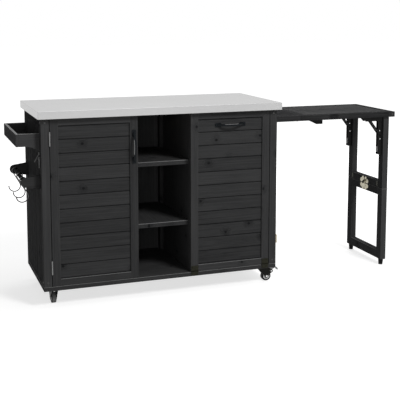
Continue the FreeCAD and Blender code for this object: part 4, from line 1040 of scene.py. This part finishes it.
def door_hinges():
    """Edge hinges of the left door, dull, and face hinges of the bin door, olive."""
    for node, side in (("cabinet_hinge_leaves", -1.0), ("left_door_hinge_leaves", 1.0)):
        spots = []
        out = X * -side
        for low, high, _ in solids(node):
            if is_side_hinge(high - low):
                centre = (low + high) / 2.0
                x = centre.x + side * HINGE_SURFACE - out.x * (SMALL_SCREW_H - FLUSH_PROUD)
                y = high.y - SIDE_SCREW_INSET
                for step in (-SIDE_SCREW_PITCH, 0.0, SIDE_SCREW_PITCH):
                    spots.append((Vector((x, y, centre.z + step)), out))
        plates = eased(node, chosen=is_side_hinge)
        settle(join([plates, heads(SMALL_SCREW, spots)]), node + "_side", node, HINGE_STEEL)
    for node, far in (("cabinet_hinge_leaves", -Z), ("bin_door_hinge_leaves", Z)):
        spots = plate_spots(node, FRONT, far, HINGE_SCREW_INSET, PLATE_SCREWS,
                            PLATE_SCREW_PITCH, is_bin_hinge)
        plates = eased(node, chosen=is_bin_hinge)
        settle(join([plates, heads(SMALL_SCREW, spots)]), node + "_face", node, OLIVE_PLATE)


def opener():
    """Cast opener with a screw above its hood and one at its foot."""
    low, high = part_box("bottle_opener")
    x = high.x - OPENER_T
    y = (low.y + high.y) / 2.0
    spots = [(Vector((x, y, z)), -X)
             for z in (high.z - OPENER_SCREW_INSET, low.z + 2.0 * OPENER_SCREW_INSET)]
    piece = join([eased("bottle_opener", CAST_EASE), heads(SMALL_SCREW, spots)])
    settle(piece, "bottle_opener_iron", "bottle_opener", CAST_IRON)


HANDLE = handle_model()
fit_handle("left_door_handle", Z)
fit_handle("bin_door_handle", X)
door_hinges()
opener()
dress("side_bumper", "side_bumper_block", BEIGE, BUMPER_EASE)
dress("door_catch", "door_catch_block", CATCH, CAST_EASE)


# S hooks

def s_hook(place):
    """Bent wire with a small ball at each end."""
    node = "s_hook_" + place
    low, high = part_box(node)
    rod_low, rod_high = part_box("towel_rod")
    y = (low.y + high.y) / 2.0
    upper = Vector(((rod_low.x + rod_high.x) / 2.0, y, high.z - HOOK_TOP_R - WIRE_R))
    reach = HOOK_LOWER_R + WIRE_R
    lower = Vector((low.x + reach, y, low.z + reach))
    pieces = [eased(node, 0.0)]
    for centre, radius, angle in ((upper, HOOK_TOP_R, HOOK_TOP_START),
                                  (lower, HOOK_LOWER_R, HOOK_END)):
        turn = math.radians(angle)
        end = centre + radius * (X * math.cos(turn) + Z * math.sin(turn))
        deselect()
        bpy.ops.mesh.primitive_uv_sphere_add(segments=BALL_SEGMENTS, ring_count=BALL_RINGS,
                                             radius=BALL_R, location=end)
        set_in_place()
        pieces.append(bpy.context.object)
    piece = join(pieces)
    soften(piece, HOOK_SMOOTH_ANGLE)
    settle(piece, node + "_wire", node, WIRE)


for place in ("front", "middle", "rear"):
    s_hook(place)


# Fittings of the folding table

def table_hinges():
    """Bright hinges under the table and at the knee, with their screws."""
    for node, out, far, inset, count, pitch in (
            ("ledge_hinge_leaves", -Z, -X, TABLE_SCREW_EDGE, TABLE_SCREWS, TABLE_SCREW_PITCH),
            ("leaf_hinge_leaves", -Z, X, TABLE_SCREW_EDGE, TABLE_SCREWS, TABLE_SCREW_PITCH),
            ("knee_hinge_upper", X, Z, HINGE_SCREW_INSET, PLATE_SCREWS, PLATE_SCREW_PITCH),
            ("knee_hinge_lower", X, -Z, HINGE_SCREW_INSET, PLATE_SCREWS, PLATE_SCREW_PITCH)):
        spots = plate_spots(node, out, far, inset, count, pitch)
        piece = join([eased(node), heads(SMALL_SCREW, spots)])
        settle(piece, node + "_plates", node, ZINC)


def leg_rivets():
    """Bright rivets on the channels and the feet of the struts."""
    channels = solids("leg_channels")
    on_channels = []
    for low, high, _ in channels:
        x = low.x + RIVET_FORWARD
        centre_x = (low.x + high.x) / 2.0
        for y, out in ((low.y, FRONT), (high.y, Y)):
            on_channels.append((Vector((x, y, low.z + RIVET_RISE)), out))
            on_channels.append((Vector((centre_x, y, low.z + SECOND_RIVET_RISE)), out))
    settle(heads(LOW_RIVET, on_channels), "channel_rivets", "leg_channels", RIVET_STEEL)
    channel_places = [(low.y + high.y) / 2.0 for low, high, _ in channels]
    on_struts = []
    for low, high, _ in solids("leg_struts"):
        y = (low.y + high.y) / 2.0
        beside = min(channel_places, key=lambda channel_y: abs(channel_y - y))
        out = FRONT if y < beside else Y
        face_y = low.y if out.y < 0.0 else high.y
        foot = Vector((high.x - STRUT_END, face_y - out.y * RIVET_H, low.z + STRUT_END))
        on_struts.append((foot, out))
    settle(heads(RIVET, on_struts), "strut_rivets", "leg_struts", RIVET_STEEL)


def channel_springs():
    """A pale strip inside each channel's lower end."""
    strips = []
    for low, high, _ in solids("leg_channels"):
        y = high.y - CHANNEL_T
        corner = Vector((low.x + SPRING_INSET, y - SPRING_T, low.z + SPRING_RISE))
        strip = block(corner, corner + Vector((SPRING_W, SPRING_T, SPRING_L)))
        bevel_edges(strip, every, METAL_EASE, segments=1)
        strips.append(strip)
    settle(join(strips), "channel_springs", "leg_channels", GUIDE)


def latch():
    """Pale lobed plates, a dish with a grip that turns, painted black as the wing's shadow, and olive corner
    plates.
    """
    dress("knee_latch_base", "knee_latch_plate", PALE_PLATE,
          chosen=lambda size: size.y > LATCH_MIN_W)
    dress("knee_latch_base", "knee_corner_plates", OLIVE_PLATE,
          chosen=lambda size: size.y < LATCH_MIN_W)
    dress("knee_latch_keeper", "knee_latch_keeper_plate", PALE_PLATE)
    dress("knee_latch_lever", "knee_latch_dish", PALE_PLATE)
    low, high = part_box("knee_latch_lever")
    middle = Vector((low.x, (low.y + high.y) / 2.0, (low.z + high.z) / 2.0))
    half = Vector((0.0, GRIP_W, GRIP_L)) / 2.0
    turn = Matrix.Rotation(math.radians(GRIP_TURN), 4, "X")
    grip = block(-half, half + X * (WING_OUT + METAL_EASE))
    bevel_edges(grip, every, GRIP_EASE, segments=3)
    grip.data.transform(Matrix.Translation(middle) @ turn)
    # the grip's black is painted shade, standing for the dark slot and shadow of the wing
    settle(smoothed(grip), "knee_latch_wing", "knee_latch_lever", PAINTED_SHADE_BLACK)


table_hinges()
dress("leg_brackets", "leg_bracket_plates", BRACKET_BLACK)
dress("leg_channels", "leg_channel_bars", BRACKET_BLACK)
dress("leg_struts", "leg_strut_bars", BRACKET_BLACK)
leg_rivets()
channel_springs()
latch()
dress("leg_feet", "leg_feet_caps", RUBBER, FOOT_EASE)


# Casters

JOINTS = {joint["name"]: joint for joint in frame["joints"]}


def axle(place):
    joint = JOINTS["wheel_spin_" + place]
    return Vector(joint["pos_m"]), Vector(joint["axis"])


def hub(place):
    """A wheel disc with a raised rim, a dished web and a raised boss on both sides."""
    centre, across = axle(place)
    half = across * HUB_W / 2.0
    piece = rod(centre - half, centre + half, HUB_R, HUB_SIDES)
    for side in (across, -across):
        edit(piece, "FACE", facing(side))
        bpy.ops.mesh.inset(thickness=HUB_RIM)
        extrude(side * -HUB_DISH)
        bpy.ops.mesh.inset(thickness=HUB_WEB)
        extrude(side * (HUB_DISH - HUB_BOSS_DROP))
        close_edit()
    bevel_edges(piece, lambda start, end: abs((end - start).dot(across)) < METAL_EASE, METAL_EASE)
    settle(smoothed(piece), "wheel_disc_" + place, "hub_" + place, HUB)


def caster(place, braked):
    """A fork with its pins, a tyre with a paler tread, a wheel disc, and a pedal if braked."""
    centre, across = axle(place)

    def on_tread(face):
        return abs(face.normal.dot(across)) < ACROSS and (face.center - centre).length > TREAD_R

    tyre = dress("tyre_" + place, "tyre_rubber_" + place, TYRE, 0.0)
    paint(tyre, TREAD, on_tread)
    hub(place)
    dress("fork_" + place, "fork_frame_" + place, FORK_BLACK,
          chosen=lambda size: size.z > PIN_MAX_Z)
    dress("fork_" + place, "fork_pins_" + place, BOLT_STEEL,
          chosen=lambda size: size.z < PIN_MAX_Z)
    if braked:
        dress("pedal_" + place, "pedal_plate_" + place, PEDAL_STEEL)


def caster_plates():
    """Mounting plates with four screws each on their undersides."""
    spots = []
    for low, high, _ in solids("caster_plates"):
        for x in (low.x + CASTER_SCREW_INSET, high.x - CASTER_SCREW_INSET):
            for y in (low.y + CASTER_SCREW_INSET, high.y - CASTER_SCREW_INSET):
                spots.append((Vector((x, y, high.z - CASTER_PLATE_T)), -Z))
    piece = join([eased("caster_plates"), heads(SMALL_SCREW, spots)])
    settle(piece, "caster_plate_steel", "caster_plates", FORK_BLACK)


caster_plates()
for place in ("front_left", "front_right", "rear_left", "rear_right"):
    caster(place, place.startswith("front"))
for model in (SCREW, SMALL_SCREW, RIVET, LOW_RIVET, HANDLE):
    bpy.data.objects.remove(model)


# Studio

def studio_floor():
    """A pale floor that keeps the object's shadow and turns white to the camera further off."""
    deselect()
    bpy.ops.mesh.primitive_plane_add(size=FLOOR_SIZE, location=(0.0, 0.0, 0.0))
    floor = bpy.context.object
    floor.name = "floor"
    finish = Finish("pale_floor", Roughness=0.9, Specular_IOR_Level=0.0)
    finish.set(Base_Color=grey(FLOOR_TONE))
    distance = finish.node("VectorMath", {"operation": "LENGTH"}, {0: finish.place()}, "Value")
    white = finish.between(distance, FLOOR_FADE_NEAR, FLOOR_FADE_FAR)
    seen = finish.node("LightPath", output="Is Camera Ray")
    mirrored = finish.node("LightPath", output="Is Glossy Ray")
    glow = finish.tree.nodes.new("ShaderNodeEmission")
    level = FLOOR_GLOW + (1.0 - FLOOR_GLOW) * white
    finish.feed(glow.inputs["Strength"], (seen + mirrored) * level)
    both = finish.tree.nodes.new("ShaderNodeAddShader")
    finish.tree.links.new(finish.surface.outputs[0], both.inputs[0])
    finish.tree.links.new(glow.outputs[0], both.inputs[1])
    finish.tree.links.new(both.outputs[0], finish.tree.nodes["Material Output"].inputs["Surface"])
    floor.data.materials.append(finish.material)


def studio_world():
    """White to the camera and in reflections, and a soft even light on the object."""
    world = bpy.data.worlds.new("studio")
    bpy.context.scene.world = world
    world.use_nodes = True
    tree = world.node_tree
    background = tree.nodes["Background"]
    rays = tree.nodes.new("ShaderNodeLightPath")
    total = rays.outputs["Is Camera Ray"]
    for ray in ("Is Transmission Ray", "Is Glossy Ray"):
        either = tree.nodes.new("ShaderNodeMath")
        either.operation = "MAXIMUM"
        tree.links.new(total, either.inputs[0])
        tree.links.new(rays.outputs[ray], either.inputs[1])
        total = either.outputs[0]
    strength = tree.nodes.new("ShaderNodeMapRange")
    strength.inputs["To Min"].default_value = WORLD_LIGHT
    strength.inputs["To Max"].default_value = 1.0
    tree.links.new(total, strength.inputs["Value"])
    tree.links.new(strength.outputs[0], background.inputs["Strength"])
    background.inputs["Color"].default_value = grey(1.0)


def lamp(name, place, aim, size, power, mirrored):
    """A square soft box that looks at a point, and shows in glossy surfaces or not."""
    deselect()
    bpy.ops.object.light_add(type="AREA", location=place)
    light = bpy.context.object
    light.name = name
    light.data.size = size
    light.data.energy = power
    light.visible_glossy = mirrored
    light.rotation_euler = (Vector(aim) - Vector(place)).to_track_quat("-Z", "Y").to_euler()


def camera():
    """The photo's view: level in roll, looking down a little, with its frame shifted down."""
    deselect()
    bpy.ops.object.camera_add(location=CAMERA_PLACE)
    view = bpy.context.object
    view.name = "photo_camera"
    view.rotation_euler = (math.radians(90.0 - CAMERA_PITCH_DOWN), 0.0, CAMERA_YAW)
    view.data.sensor_width = CAMERA_SENSOR_W
    view.data.lens = CAMERA_LENS
    view.data.shift_y = CAMERA_SHIFT_Y
    bpy.context.scene.camera = view


studio_floor()
studio_world()
lamp("key", (1.4, -3.6, 3.9), (0.0, 0.0, 0.5), size=1.2, power=165.0, mirrored=False)
lamp("front", (-1.2, -4.4, 1.1), (0.0, 0.0, 0.4), size=1.6, power=25.0, mirrored=False)
lamp("top", (0.2, 0.2, 3.6), (0.2, 0.0, 0.9), size=2.6, power=38.0, mirrored=True)
lamp("back", (2.6, 3.6, 2.2), (0.0, 0.0, 0.5), size=2.0, power=70.0, mirrored=False)
camera()

bpy.context.scene.view_settings.view_transform = "Standard"
